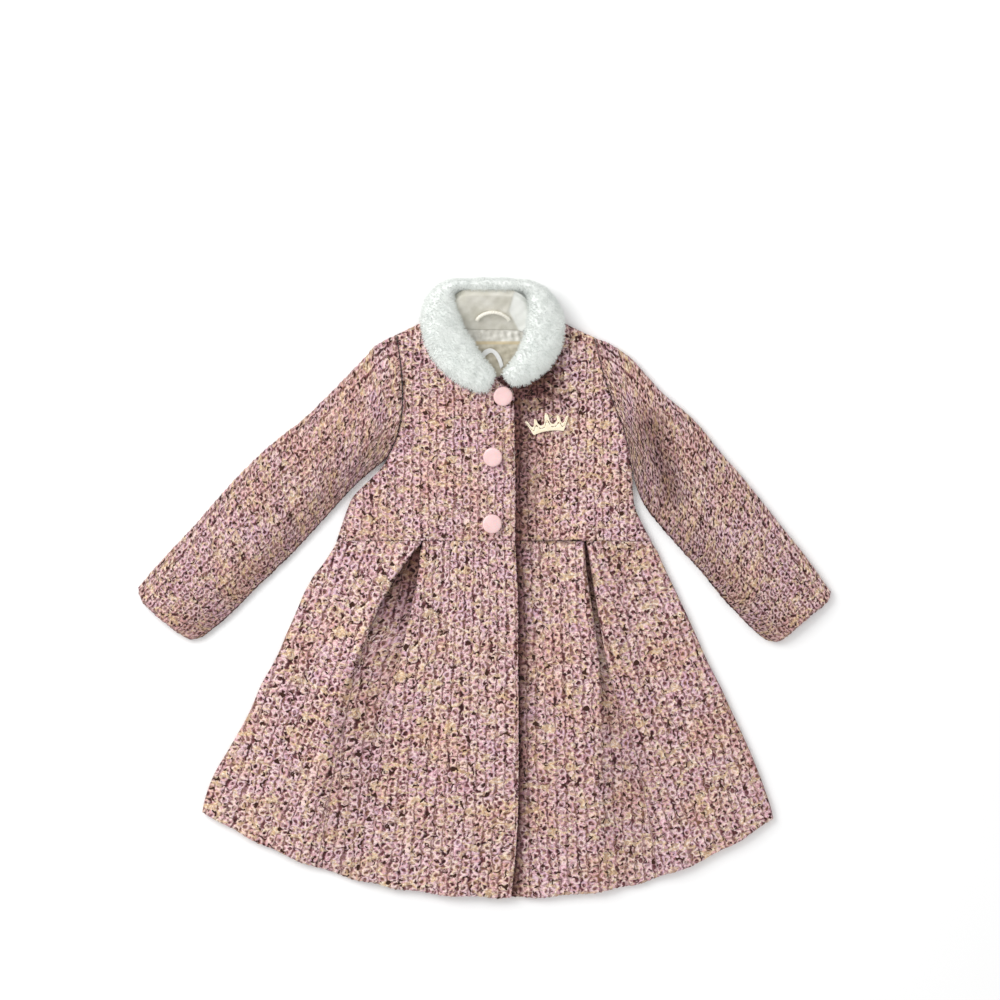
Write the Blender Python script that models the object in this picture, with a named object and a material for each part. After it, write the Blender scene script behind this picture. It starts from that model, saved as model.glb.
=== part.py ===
import math

import bpy
import bmesh

for old in list(bpy.data.objects):
    bpy.data.objects.remove(old, do_unlink=True)

# The coat lies flat, front up, collar towards +Y. Its outline is charted on squares of 1.1 mm.
CHART = 0.0011
CHART_X = 484.0
CHART_Y = 588.5

# Cloth: tweed with its wadded lining, laid in layers one pitch apart, thinner inside the pleats
WALL = 0.0032
FOLD_WALL = 0.0021
PLEAT_REACH = 0.026
PITCH = 0.0036
SEAM = 0.0004
EASE = 0.0008
BACK_MID = WALL / 2
LAYER_1 = BACK_MID + PITCH
LAYER_2 = LAYER_1 + PITCH
SEAM_MID = BACK_MID + WALL + 0.0002
PANEL_MID = 0.0066

WAIST_Y = 541.0
HEM_Y = 897.0

BUTTON_RADIUS = 0.01060
SHANK_RADIUS = 0.0024

COLLAR_RINGS = 46
LOOP_RADIUS = 0.0014
STAND_WALL = 0.0014
LINING_WALL = 0.0014

NECK_LEFT = (449, 307)
NECK_RIGHT = (533, 306)
SHOULDER_LEFT = (397, 335)
SHOULDER_RIGHT = (594, 338)

# Lines of the cut, each a row of chart points
SIDE_LEFT = [(337, 541), (342, 525), (348, 508), (354, 496), (367, 483), (379, 471), (387, 460)]
ARMHOLE_LEFT = [(387, 460), (397, 438), (402, 415), (403, 390), (401, 363), (397, 335)]
SIDE_RIGHT = [(651, 541), (643, 526), (636, 511), (633, 497), (632, 480), (631, 465)]
ARMHOLE_RIGHT = [(631, 465), (624, 430), (612, 400), (602, 370), (594, 338)]
LAP_EDGE = [(515, 541), (515.5, 500), (515, 450), (514, 410), (513, 392)]
NECK_OVER = [(513, 392), (501, 384), (488, 372), (475, 357), (463, 338), (455, 325), (449, 307)]
LAP_HIDDEN = [(466, 541), (467, 500), (468, 450), (470, 410), (472, 392)]
NECK_UNDER = [(472, 392), (486, 388), (497, 380), (508, 369), (518, 356), (527, 342), (531, 325), (533, 306)]
NECK_BACK = [(449, 307), (457, 318), (468, 326.5), (491, 329), (514, 329), (526, 320), (533, 306)]

SLEEVE_LEFT = {
    "root": [(396.7, 335), (400.6, 363), (402.6, 390), (401.6, 415), (396.6, 437.8), (386.6, 459.4)],
    "outer": [(396.7, 335), (377, 345), (364, 359), (334, 390), (304, 419), (270, 446), (235, 480),
              (196, 524), (167, 555), (139, 587)],
    "inner": [(386.6, 459.4), (367, 475), (350, 491), (320, 524), (291, 555), (260, 585), (230, 615), (203, 637)],
    "cuff": [(139, 587), (142, 600), (156, 615), (175, 630), (190, 639), (203, 637)],
}
SLEEVE_RIGHT = {
    "root": [(594.4, 338), (602.4, 370), (612.4, 400), (624.4, 430), (631.4, 464.6)],
    "outer": [(594.4, 338), (611, 345), (632, 360), (659, 390), (693, 420), (718, 450), (744, 480),
              (780, 525), (804, 555), (830, 592)],
    "inner": [(631.4, 464.6), (636, 487), (647, 510), (672, 540), (699, 570), (724, 600), (753, 630), (766, 640)],
    "cuff": [(830, 592), (827, 602), (811, 615), (794, 630), (779, 641), (766, 640)],
}

# Skirt rows: down, side seam, edge of the middle panel, edge of the side panel, fold depth in mm,
# form (0 folded, 1 upright step, 2 slope), rise over the underlay in mm, edge of the lap
SKIRT_LEFT = [
    (0.000, 337.0, 424.0, 421.0, 7.5, 0.0, 7.2, 515.0),
    (0.035, 332.0, 421.5, 412.0, 7.5, 0.0, 7.2, 515.5),
    (0.080, 324.0, 420.0, 401.0, 7.5, 0.0, 7.2, 516.5),
    (0.130, 313.5, 417.0, 391.0, 7.5, 0.0, 7.2, 517.5),
    (0.190, 304.5, 413.0, 380.0, 6.0, 0.0, 7.2, 518.0),
    (0.260, 296.5, 408.0, 370.0, 4.0, 0.0, 7.2, 518.0),
    (0.340, 287.0, 402.0, 361.0, 1.8, 1.0, 7.2, 518.0),
    (0.430, 276.5, 394.0, 351.0, 1.8, 1.5, 5.8, 518.5),
    (0.530, 261.5, 386.0, 343.0, 1.8, 2.0, 4.6, 518.5),
    (0.640, 248.5, 379.0, 335.0, 1.8, 2.0, 3.8, 518.5),
    (0.760, 230.5, 372.0, 327.0, 1.8, 2.0, 3.2, 518.0),
    (0.880, 212.0, 366.0, 320.0, 1.8, 2.0, 2.8, 515.5),
    (1.000, 202.5, 361.0, 314.0, 1.8, 2.0, 2.6, 511.5),
]
SKIRT_RIGHT = [
    (0.000, 651.0, 583.5, 586.5, 7.5, 0.0, 7.2, 466.0),
    (0.035, 657.0, 584.5, 589.0, 7.5, 0.0, 7.2, 466.0),
    (0.080, 662.5, 585.5, 591.5, 7.5, 0.0, 7.2, 466.0),
    (0.130, 669.0, 588.0, 594.0, 7.0, 0.0, 7.2, 466.0),
    (0.190, 677.0, 591.0, 597.5, 6.0, 0.0, 7.2, 466.0),
    (0.260, 686.0, 594.5, 601.5, 5.0, 0.0, 7.2, 466.0),
    (0.340, 696.0, 598.0, 606.5, 3.5, 0.0, 7.2, 466.0),
    (0.430, 707.0, 601.0, 614.0, 1.8, 1.0, 6.6, 466.0),
    (0.530, 721.0, 604.0, 627.0, 1.8, 1.5, 5.2, 466.0),
    (0.640, 735.0, 606.0, 640.0, 1.8, 2.0, 4.2, 466.0),
    (0.760, 750.0, 609.0, 648.0, 1.8, 2.0, 3.4, 466.0),
    (0.880, 763.0, 613.0, 655.0, 1.8, 2.0, 3.0, 466.0),
    (1.000, 773.0, 618.0, 661.0, 1.8, 2.0, 2.6, 466.0),
]
HEM_LOW_X = 510.0
HEM_RISE_LEFT = 86.0
HEM_RISE_RIGHT = 79.0

# Soft creases: from, to (chart), half width in mm, height in mm
CREASES_BODICE = [
    (412, 372, 418, 446, 8, -1.3), (440, 395, 446, 520, 16, 1.0), (418, 446, 400, 505, 10, -0.9),
    (378, 500, 366, 538, 12, 1.1), (424, 470, 404, 539, 11, 0.9),
    (424, 536, 421, 541, 15, 5.8),
    (596, 372, 612, 436, 8, -1.2), (560, 460, 572, 530, 14, 0.9), (628, 470, 598, 506, 8, -1.2),
    (612, 486, 588, 524, 10, 1.0), (545, 350, 560, 392, 14, -0.5), (640, 520, 618, 538, 12, 0.9),
    (584, 536, 587, 541, 15, 5.8),
]
CREASES_SKIRT = [
    (626, 560, 634, 640, 11, -1.3), (634, 640, 668, 770, 14, -1.4), (690, 660, 726, 810, 18, 1.3),
    (560, 600, 566, 880, 22, 0.9), (532, 640, 536, 880, 10, -0.7),
    (300, 640, 262, 800, 18, 1.3), (262, 700, 238, 790, 12, -0.9), (450, 640, 446, 890, 26, 0.9),
    (484, 700, 480, 890, 16, -0.7), (352, 570, 334, 640, 12, 1.0), (410, 760, 402, 885, 12, 1.0),
]
CREASES_SLEEVE = [
    (384, 372, 372, 440, 9, 1.2), (360, 400, 330, 470, 11, -1.3), (330, 420, 296, 470, 10, 0.8),
    (300, 470, 262, 540, 11, -1.1), (262, 500, 226, 560, 12, 0.9), (240, 560, 190, 600, 10, -1.0),
    (610, 372, 628, 438, 9, 1.2), (636, 400, 662, 472, 11, -1.3), (668, 420, 700, 480, 10, 0.9),
    (694, 470, 726, 540, 12, -1.1), (728, 500, 762, 560, 12, 0.9), (752, 552, 792, 604, 10, -1.0),
]

# Collar stations: inner edge, outer edge, underside inside and outside in mm, crest in mm, standing,
# reach of the roll under the stand in chart squares
COLLAR = [
    (497.0, 374.0, 490.5, 390.5, 10.9, 10.9, 17.0, 0.0, 0.0),
    (494.5, 371.0, 485.0, 393.0, 10.9, 10.9, 23.0, 0.0, 0.0),
    (490.0, 364.5, 473.0, 391.5, 10.9, 10.9, 27.0, 0.0, 0.0),
    (481.0, 354.0, 456.0, 382.5, 10.9, 10.9, 29.0, 0.0, 0.0),
    (470.5, 337.0, 438.0, 367.0, 10.9, 10.9, 30.0, 0.0, 0.0),
    (463.0, 325.5, 426.5, 347.0, 10.2, 10.2, 31.0, 0.0, 0.0),
    (459.5, 315.0, 421.0, 326.0, 9.4, 9.2, 32.0, 0.0, 0.0),
    (456.5, 303.0, 422.5, 308.0, 9.4, 3.0, 33.0, 0.0, 1.0),
    (453.5, 294.5, 431.0, 291.5, 4.0, 0.0, 33.0, 0.4, 2.0),
    (459.0, 289.0, 447.0, 281.4, 0.0, 0.0, 33.5, 0.85, 6.0),
    (472.0, 287.5, 470.0, 279.6, 0.0, 0.0, 34.0, 1.0, 20.0),
    (490.0, 287.0, 490.0, 279.2, 0.0, 0.0, 34.0, 1.0, 26.0),
    (508.0, 287.5, 510.0, 279.7, 0.0, 0.0, 34.0, 1.0, 20.0),
    (520.0, 289.5, 534.0, 283.2, 0.0, 0.0, 33.5, 0.85, 6.0),
    (526.0, 294.5, 550.0, 293.0, 4.0, 0.0, 33.0, 0.4, 2.0),
    (527.5, 304.0, 561.0, 310.0, 9.4, 3.0, 33.0, 0.0, 1.0),
    (527.0, 318.0, 564.5, 330.0, 9.4, 9.4, 32.0, 0.0, 0.0),
    (524.5, 334.0, 560.0, 351.0, 9.4, 9.4, 31.0, 0.0, 0.0),
    (518.5, 350.0, 547.0, 371.0, 9.8, 9.4, 30.0, 0.0, 0.0),
    (510.5, 362.0, 529.0, 383.0, 10.9, 10.2, 28.0, 0.0, 0.0),
    (504.0, 370.0, 518.0, 387.5, 10.9, 10.9, 24.0, 0.0, 0.0),
    (500.5, 375.5, 512.5, 387.0, 10.9, 10.9, 17.5, 0.0, 0.0),
]
# Collar sections, lying and standing: outward share (of the reach where below 0), height share
SECTION_LYING = [(0.05, 0.05), (0.0, 0.30), (0.03, 0.60), (0.12, 0.85), (0.28, 0.98), (0.48, 1.0),
                 (0.68, 0.93), (0.86, 0.74), (0.98, 0.46), (1.0, 0.20), (0.93, 0.02), (0.5, 0.0)]
SECTION_STANDING = [(-1.0, 0.08), (-0.72, 0.28), (-0.40, 0.55), (-0.1, 0.83), (0.2, 0.97), (0.5, 1.0),
                    (0.8, 0.95), (0.97, 0.80), (1.0, 0.55), (0.95, 0.30), (0.8, 0.03), (-0.5, 0.0)]

# Stand stations: seam, fold (chart), their heights in mm
STAND = [
    (463.8, 328.0, 457.9, 298.5, 4.9, 27.5),
    (470.0, 329.2, 465.5, 291.2, 4.5, 31.8),
    (481.0, 329.6, 480.0, 290.2, 4.4, 32.8),
    (491.0, 329.8, 492.0, 290.0, 4.4, 33.0),
    (502.0, 329.8, 504.0, 290.4, 4.4, 32.8),
    (511.0, 329.8, 515.5, 292.2, 4.5, 31.2),
    (518.0, 330.2, 523.4, 300.0, 4.9, 27.0),
    (522.6, 331.6, 525.3, 313.0, 5.6, 21.5),
]
LOOP_LINE = [(476.5, 320.5), (479, 317), (485, 313.5), (493, 312), (501, 313.5), (507, 317), (509.5, 320.5)]
LINING_LEFT = [(465, 332), (470, 344), (480, 359), (494, 376)]
LINING_RIGHT = [(524, 334), (521, 347), (513, 360), (503, 374)]
LABEL = [(481, 354), (485, 350), (491, 348.5), (497, 352), (501, 358), (503.5, 366), (501, 371), (493, 366), (485, 360)]

# Buttons: chart place, tilt about X and Y in degrees
BUTTONS = [(503.0, 396.6, 0.0, 0.0), (493.0, 457.0, 7.0, -9.0), (492.0, 524.0, -2.0, 2.0)]

# Half of the pin, from its middle outwards: foot of the band, top of the points, sideways and up in mm
PIN_CENTRE = (547.5, 424.5)
PIN_TURN = math.radians(8.0)
PIN_LEVEL = 0.0090
PIN_THICK = 0.0018
PIN_ROWS = [
    (0.0, -7.2, 0.0, 12.2), (1.6, -7.2, 1.9, 9.8), (3.2, -7.3, 3.0, 2.6), (5.2, -7.4, 5.2, 0.0),
    (7.6, -7.6, 8.2, 0.0), (9.8, -8.0, 10.6, 3.0), (11.6, -8.4, 11.4, 6.4), (12.8, -8.7, 13.0, 7.2),
    (13.8, -8.9, 14.2, 5.8), (14.8, -9.2, 14.6, 2.6), (15.6, -9.4, 16.0, -0.6), (16.8, -9.2, 18.4, 0.4),
    (18.6, -5.6, 21.0, 5.2), (20.4, -1.4, 22.6, 6.6), (22.6, 3.0, 24.0, 5.4),
]


def smooth(value):
    value = min(1.0, max(0.0, value))
    return value * value * (3.0 - 2.0 * value)


def at(x, y):
    return ((x - CHART_X) * CHART, (CHART_Y - y) * CHART)


# A smooth line through rows of numbers, in even steps of its first two columns
def curve(rows, count):
    dense = []
    last = len(rows) - 1
    for i in range(last):
        a, b, c, d = rows[max(0, i - 1)], rows[i], rows[i + 1], rows[min(last, i + 2)]
        for k in range(8):
            t = k / 8.0
            dense.append(tuple(
                0.5 * (2 * q + (r - p) * t + (2 * p - 5 * q + 4 * r - s) * t * t
                       + (3 * q - p - 3 * r + s) * t ** 3)
                for p, q, r, s in zip(a, b, c, d)))
    dense.append(tuple(float(q) for q in rows[last]))
    reach = [0.0]
    for p, q in zip(dense, dense[1:]):
        reach.append(reach[-1] + math.hypot(q[0] - p[0], q[1] - p[1]))
    out = []
    j = 0
    for i in range(count):
        want = reach[-1] * i / (count - 1)
        while j < len(dense) - 2 and reach[j + 1] < want:
            j += 1
        span = reach[j + 1] - reach[j]
        t = 0.0 if span <= 0 else min(1.0, (want - reach[j]) / span)
        out.append(tuple(p + (q - p) * t for p, q in zip(dense[j], dense[j + 1])))
    return out


# A net between four lines: rows run from the start line to the end line
def net(left, right, start, end, columns, rows):
    lefts, rights = curve(left, rows), curve(right, rows)
    starts, ends = curve(start, columns), curve(end, columns)
    grid = []
    for r in range(rows):
        t = r / (rows - 1)
        line = []
        for c in range(columns):
            s = c / (columns - 1)
            line.append(tuple(
                (1 - s) * lefts[r][k] + s * rights[r][k] + (1 - t) * starts[c][k] + t * ends[c][k]
                - (1 - s) * (1 - t) * starts[0][k] - s * (1 - t) * starts[-1][k]
                - (1 - s) * t * ends[0][k] - s * t * ends[-1][k]
                for k in (0, 1)))
        grid.append(line)
    return grid


def distance(x, y, x0, y0, x1, y1):
    dx, dy = x1 - x0, y1 - y0
    t = ((x - x0) * dx + (y - y0) * dy) / max(1e-9, dx * dx + dy * dy)
    t = min(1.0, max(0.0, t))
    return math.hypot(x - x0 - t * dx, y - y0 - t * dy)


# Height of the creases at a chart point, in metres
def crease(x, y, table):
    total = 0.0
    for x0, y0, x1, y1, half, height in table:
        away = distance(x, y, x0, y0, x1, y1) * CHART * 1000 / half
        total += height * math.exp(-away * away)
    return total / 1000


def to_line(x, y, line):
    return min(distance(x, y, *p, *q) for p, q in zip(line, line[1:])) * CHART


# The share of full height at a chart point when the cloth rolls down to a seam
def rolled(x, y, lines, reach):
    share = 1.0
    for line in lines:
        share = min(share, smooth(to_line(x, y, line) / reach))
    return share


def material(name, colour, roughness, metallic=0.0):
    made = bpy.data.materials.new(name)
    made.use_nodes = True
    shader = made.node_tree.nodes["Principled BSDF"]
    linear = [v / 12.92 if v <= 0.04045 else ((v + 0.055) / 1.055) ** 2.4 for v in colour]
    shader.inputs["Base Color"].default_value = (*linear, 1.0)
    shader.inputs["Roughness"].default_value = roughness
    shader.inputs["Metallic"].default_value = metallic
    made.diffuse_color = (*linear, 1.0)
    return made


coat = bpy.data.collections.new("laid_coat")
bpy.context.scene.collection.children.link(coat)


def put(name, bm, look, round_shade=True):
    bmesh.ops.recalc_face_normals(bm, faces=bm.faces[:])
    mesh = bpy.data.meshes.new(name)
    bm.to_mesh(mesh)
    bm.free()
    for face in mesh.polygons:
        face.use_smooth = round_shade
    mesh.materials.append(look)
    made = bpy.data.objects.new(name, mesh)
    coat.objects.link(made)
    return made


# A cloth panel from its two faces, closed by a rounded edge
def panel(name, upper, lower, look):
    rows, columns = len(upper), len(upper[0])
    around = [(0, c) for c in range(columns)] + [(r, columns - 1) for r in range(1, rows)]
    around += [(rows - 1, c) for c in range(columns - 2, -1, -1)] + [(r, 0) for r in range(rows - 2, 0, -1)]
    bm = bmesh.new()
    edge = {}
    tops = [[None] * columns for _ in range(rows)]
    lows = [[None] * columns for _ in range(rows)]
    for r in range(rows):
        for c in range(columns):
            high, low = upper[r][c], lower[r][c]
            if r in (0, rows - 1) or c in (0, columns - 1):
                edge[r, c] = bm.verts.new([(p + q) / 2 for p, q in zip(high, low)])
                rr = min(max(r, 1), rows - 2)
                cc = min(max(c, 1), columns - 2)
                move = [(p - q) for p, q in zip(upper[rr][cc], high)]
                size = math.hypot(move[0], move[1])
                high = (high[0] + move[0] * EASE / size, high[1] + move[1] * EASE / size, high[2])
                low = (low[0] + move[0] * EASE / size, low[1] + move[1] * EASE / size, low[2])
            tops[r][c] = bm.verts.new(high)
            lows[r][c] = bm.verts.new(low)
    for r in range(rows - 1):
        for c in range(columns - 1):
            bm.faces.new((tops[r][c], tops[r][c + 1], tops[r + 1][c + 1], tops[r + 1][c]))
            bm.faces.new((lows[r][c], lows[r + 1][c], lows[r + 1][c + 1], lows[r][c + 1]))
    for a, b in zip(around, around[1:] + around[:1]):
        bm.faces.new((tops[a[0]][a[1]], edge[a], edge[b], tops[b[0]][b[1]]))
        bm.faces.new((edge[a], lows[a[0]][a[1]], lows[b[0]][b[1]], edge[b]))
    return put(name, bm, look)


# A nearly flat panel: the net lifted to a height, with the same wall everywhere
def lifted(name, grid, height, wall, look, gap=(0.0, 0.0)):
    upper, lower = [], []
    for line in grid:
        high, low = [], []
        for x, y in line:
            wx, wy = at(x, y)
            wx, wy = wx + gap[0], wy + gap[1]
            z = height(x, y)
            high.append((wx, wy, z + wall / 2))
            low.append((wx, wy, z - wall / 2))
        upper.append(high)
        lower.append(low)
    return panel(name, upper, lower, look)


tweed = material("pink_tweed", (0.70, 0.58, 0.56), 0.95)
tweed_sleeve = material("pink_tweed_sleeve", (0.68, 0.56, 0.54), 0.95)
tweed_skirt = material("pink_tweed_skirt", (0.73, 0.61, 0.59), 0.95)
plush = material("white_plush", (0.92, 0.93, 0.92), 0.9)
cream = material("cream_facing", (0.83, 0.82, 0.77), 0.8)
beige = material("beige_lining", (0.78, 0.74, 0.64), 0.7)
satin = material("ivory_ribbon", (0.91, 0.89, 0.83), 0.5)
white = material("white_label", (0.93, 0.93, 0.94), 0.6)
pink = material("pink_button", (0.96, 0.82, 0.82), 0.35)
gold = material("pale_gold", (0.93, 0.85, 0.70), 0.3, 1.0)

# Back, flat on the surface
back_top = [SHOULDER_LEFT, (423, 322)] + NECK_BACK + [(563, 323), SHOULDER_RIGHT]
grid = net(SIDE_LEFT + ARMHOLE_LEFT[1:], SIDE_RIGHT + ARMHOLE_RIGHT[1:],
           [(337, 541), (651, 541)], back_top, 20, 12)
lifted("back_bodice", grid, lambda x, y: BACK_MID, WALL, tweed, (0.0, SEAM / 2))


def hem_line(x, down, side):
    half = abs(side - HEM_LOW_X)
    share = min(1.15, abs(x - HEM_LOW_X) / half)
    rise = HEM_RISE_LEFT if x < HEM_LOW_X else HEM_RISE_RIGHT
    power = 2.25 if x < HEM_LOW_X else 2.4
    return WAIST_Y + (HEM_Y - WAIST_Y) * down - rise * down * share ** power


back_rows = []
for row_left, row_right in zip(SKIRT_LEFT[::2], SKIRT_RIGHT[::2]):
    line = []
    for c in range(17):
        x = row_left[1] + (row_right[1] - row_left[1]) * c / 16
        side = row_left[1] if x < HEM_LOW_X else row_right[1]
        line.append((x, hem_line(x, row_left[0], side)))
    back_rows.append(line)
lifted("back_skirt", back_rows, lambda x, y: BACK_MID, WALL, tweed_skirt, (0.0, -SEAM / 2))

# Fronts of the bodice: the wearer's right one laps over the left one
shoulder_left = [NECK_LEFT, (423, 322), SHOULDER_LEFT]
shoulder_right = [NECK_RIGHT, (563, 323), SHOULDER_RIGHT]


def over_height(x, y):
    lap = LAYER_2 - PANEL_MID
    z = PANEL_MID + lap * smooth((x - 434.0) / 24.0) + crease(x, y, CREASES_BODICE) * smooth((496.0 - x) / 30.0)
    share = rolled(x, y, [SIDE_LEFT, shoulder_left], 0.014)
    return SEAM_MID + (max(z, SEAM_MID) - SEAM_MID) * share


def under_height(x, y):
    z = LAYER_1 + (PANEL_MID - LAYER_1) * smooth((x - 518.0) / 14.0)
    z += crease(x, y, CREASES_BODICE) * smooth((x - 522.0) / 20.0)
    share = rolled(x, y, [SIDE_RIGHT, shoulder_right], 0.014)
    return SEAM_MID + (max(z, SEAM_MID) - SEAM_MID) * share


grid = net(LAP_EDGE + NECK_OVER[1:], SIDE_LEFT + ARMHOLE_LEFT[1:],
           [(515, 541), (337, 541)], shoulder_left, 16, 15)
lifted("front_bodice_right", grid, over_height, WALL, tweed, (0.0, SEAM / 2))
grid = net(LAP_HIDDEN + NECK_UNDER[1:], SIDE_RIGHT + ARMHOLE_RIGHT[1:],
           [(466, 541), (651, 541)], shoulder_right, 16, 15)
lifted("front_bodice_left", grid, under_height, WALL, tweed, (0.0, SEAM / 2))

# Eleven points of one fold, from its panel down to the underlay: under the panel, down
RADIUS = PITCH / 2


def fold_points(depth, form, rise):
    r = RADIUS
    folded = [(r, 0), (0.29 * r, -0.29 * r), (0, -r), (0.29 * r, -1.71 * r), (r, -2 * r),
              ((r + depth) / 2 + 0.0001, -2 * r), (depth + 0.0002, -2 * r),
              (depth + 0.71 * r, -2.29 * r), (depth + r, -3 * r), (depth + 0.71 * r, -3.71 * r), (depth, -4 * r)]
    upright = [(r, 0), (0.29 * r, -0.29 * r), (0, -0.8 * r), (0, -1.3 * r), (0, -1.6 * r), (0, -1.9 * r),
               (0, -2.2 * r), (0, -2.6 * r), (0, -3.1 * r), (-0.35 * r, -3.71 * r), (-1.1 * r, -4 * r)]
    slope = [(0.010 * (1 - 0.2 * k), -4 * r * smooth(k / 10)) for k in range(11)]
    if form <= 1.0:
        low, high, mix = folded, upright, form
    else:
        low, high, mix = upright, slope, form - 1.0
    scale = rise / (4 * r)
    return [(a[0] + (b[0] - a[0]) * mix, (a[1] + (b[1] - a[1]) * mix) * scale) for a, b in zip(low, high)]


# Both faces of a folded section, moved out from its middle line by half the wall at each point
def thicken(line, walls, turn):
    sides = []
    last = len(line) - 1
    for i in range(last + 1):
        a, b, c = line[max(0, i - 1)], line[i], line[min(last, i + 1)]
        ways = []
        for p, q in ((a, b), (b, c)):
            size = math.hypot(q[0] - p[0], q[1] - p[1])
            if size > 1e-9:
                ways.append(((q[1] - p[1]) / size * turn, -(q[0] - p[0]) / size * turn))
        nx = sum(w[0] for w in ways) / len(ways)
        nz = sum(w[1] for w in ways) / len(ways)
        size = math.hypot(nx, nz)
        reach = walls[i] / 2 / max(size, 0.85) / size
        sides.append((nx * reach, nz * reach))
    return sides


# One front of the skirt: lap, middle panel, inverted pleat, side panel
def skirt(name, table, side_sign, lap_mid, look):
    upper, lower = [], []
    for down, side, middle, outer, depth, form, rise, edge in table:
        rise = rise / 1000
        fold_mid = LAYER_1 + rise
        flat = PANEL_MID

        def height(x):
            y = hem_line(x, down, side)
            z = flat + crease(x, y, CREASES_SKIRT)
            if side_sign < 0:
                lap = smooth((x - 434.0) / 24.0)
            else:
                lap = 1.0 - smooth((x - 521.0) / 16.0)
            z += (lap_mid - z) * lap
            near = min(abs(x - middle), abs(x - outer)) * CHART
            return z + (fold_mid - z) * math.exp(-(near / PLEAT_REACH) ** 2) * (1.0 - lap)

        def rolled_height(x):
            z = height(x)
            share = smooth(abs(x - side) * CHART / 0.016)
            return SEAM_MID + (max(z, SEAM_MID) - SEAM_MID) * share

        turns = fold_points(depth / 1000, form, rise)
        reach = turns[0][0] / CHART
        line = []
        first = middle - side_sign * (reach + 1.5)
        for k in range(8):
            x = edge + (first - edge) * k / 7
            line.append((x, height(x)))
        start = height(middle - side_sign * reach)
        under = height(outer + side_sign * reach)
        floor = LAYER_1
        for over, drop in turns:
            share = -drop / rise
            line.append((middle - side_sign * over / CHART, start + (floor - start) * share))
        left_end = middle - side_sign * turns[-1][0] / CHART
        right_end = outer + side_sign * turns[-1][0] / CHART
        for k in (0.3, 0.7):
            line.append((left_end + (right_end - left_end) * k, floor))
        for over, drop in reversed(turns):
            share = -drop / rise
            line.append((outer + side_sign * over / CHART, under + (floor - under) * share))
        first = outer + side_sign * (reach + 1.5)
        for k in range(7):
            x = first + (side - first) * (k / 6) ** 0.85
            line.append((x, rolled_height(x)))
        line = [(x * CHART, z) for x, z in line]
        walls = [WALL] * 8 + [FOLD_WALL] * 24 + [WALL] * 7
        high, low = [], []
        for (x, z), (mx, mz) in zip(line, thicken(line, walls, side_sign * -1.0)):
            y = hem_line(x / CHART, down, side)
            y = (CHART_Y - y) * CHART - SEAM / 2
            high.append((x + mx - CHART_X * CHART, y, z + mz))
            low.append((x - mx - CHART_X * CHART, y, z - mz))
        upper.append(high)
        lower.append(low)
    return panel(name, upper, lower, look)


skirt("front_skirt_right", SKIRT_LEFT, -1.0, LAYER_2, tweed_skirt)
skirt("front_skirt_left", SKIRT_RIGHT, 1.0, LAYER_1, tweed_skirt)


# Sleeves: two flat-laid halves with an open cuff
def sleeve(side, table, step):
    grid = net(table["outer"], table["inner"], table["root"], table["cuff"], 9, 17)
    low = net(table["outer"], table["inner"], table["root"], table["cuff"], 6, 12)
    lines = [table["outer"], table["inner"]]

    def height(x, y):
        share = rolled(x, y, lines, 0.034)
        z = 0.0084 + crease(x, y, CREASES_SLEEVE) * 0.8
        return SEAM_MID + (z - SEAM_MID) * share

    lifted("sleeve_top_" + side, grid, height, WALL, tweed_sleeve, (step, 0.0))
    lifted("sleeve_under_" + side, low, lambda x, y: BACK_MID, WALL, tweed_sleeve, (step, 0.0))


sleeve("right", SLEEVE_LEFT, -SEAM)
sleeve("left", SLEEVE_RIGHT, SEAM)


# Collar: rings along the neck, lying at the fronts and standing at the back
rings = []
for ix, iy, ox, oy, base_in, base_out, crest, standing, reach in curve(COLLAR, COLLAR_RINGS):
    standing = min(1.0, max(0.0, standing))
    wide = math.hypot(ox - ix, oy - iy)
    ring = []
    for lying, upright in zip(SECTION_LYING, SECTION_STANDING):
        out = lying[0] * wide * (1.0 - standing)
        out += upright[0] * (wide if upright[0] > 0 else reach) * standing
        up = lying[1] + (upright[1] - lying[1]) * standing
        base = max(0.0, base_in + (base_out - base_in) * min(1.0, max(0.0, out / wide)))
        wx, wy = at(ix + (ox - ix) * out / wide, iy + (oy - iy) * out / wide)
        ring.append((wx, wy, (base + (crest - base) * up) / 1000))
    rings.append(ring)
bm = bmesh.new()
loops = [[bm.verts.new(p) for p in ring] for ring in rings]
for a, b in zip(loops, loops[1:]):
    for k in range(12):
        n = (k + 1) % 12
        bm.faces.new((a[k], a[n], b[n], b[k]))
for loop in (loops[0], loops[-1]):
    tip = bm.verts.new([sum(v.co[k] for v in loop) / 12 for k in range(3)])
    for k in range(12):
        bm.faces.new((loop[k], loop[(k + 1) % 12], tip))
put("collar", bm, plush)

# Stand: the cream inner face of the collar, sloping from its fold to the neck seam
upper, lower = [], []
stand_rows = curve(STAND, 12)
for sx, sy, fx, fy, low_z, high_z in stand_rows:
    high, low = [], []
    for k in range(7):
        t = k / 6
        x, y = sx + (fx - sx) * t, sy + (fy - sy) * t
        z = (low_z + (high_z - low_z) * t) / 1000
        wx, wy = at(x, y)
        high.append((wx, wy - 0.35 * STAND_WALL, z + 0.6 * STAND_WALL))
        low.append((wx, wy + 0.35 * STAND_WALL, z - 0.6 * STAND_WALL))
    upper.append(high)
    lower.append(low)
panel("collar_stand", upper, lower, cream)


def stand_height(y):
    share = (329.8 - y) / (329.8 - 290.0)
    return (4.4 + (33.0 - 4.4) * share) / 1000


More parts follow.
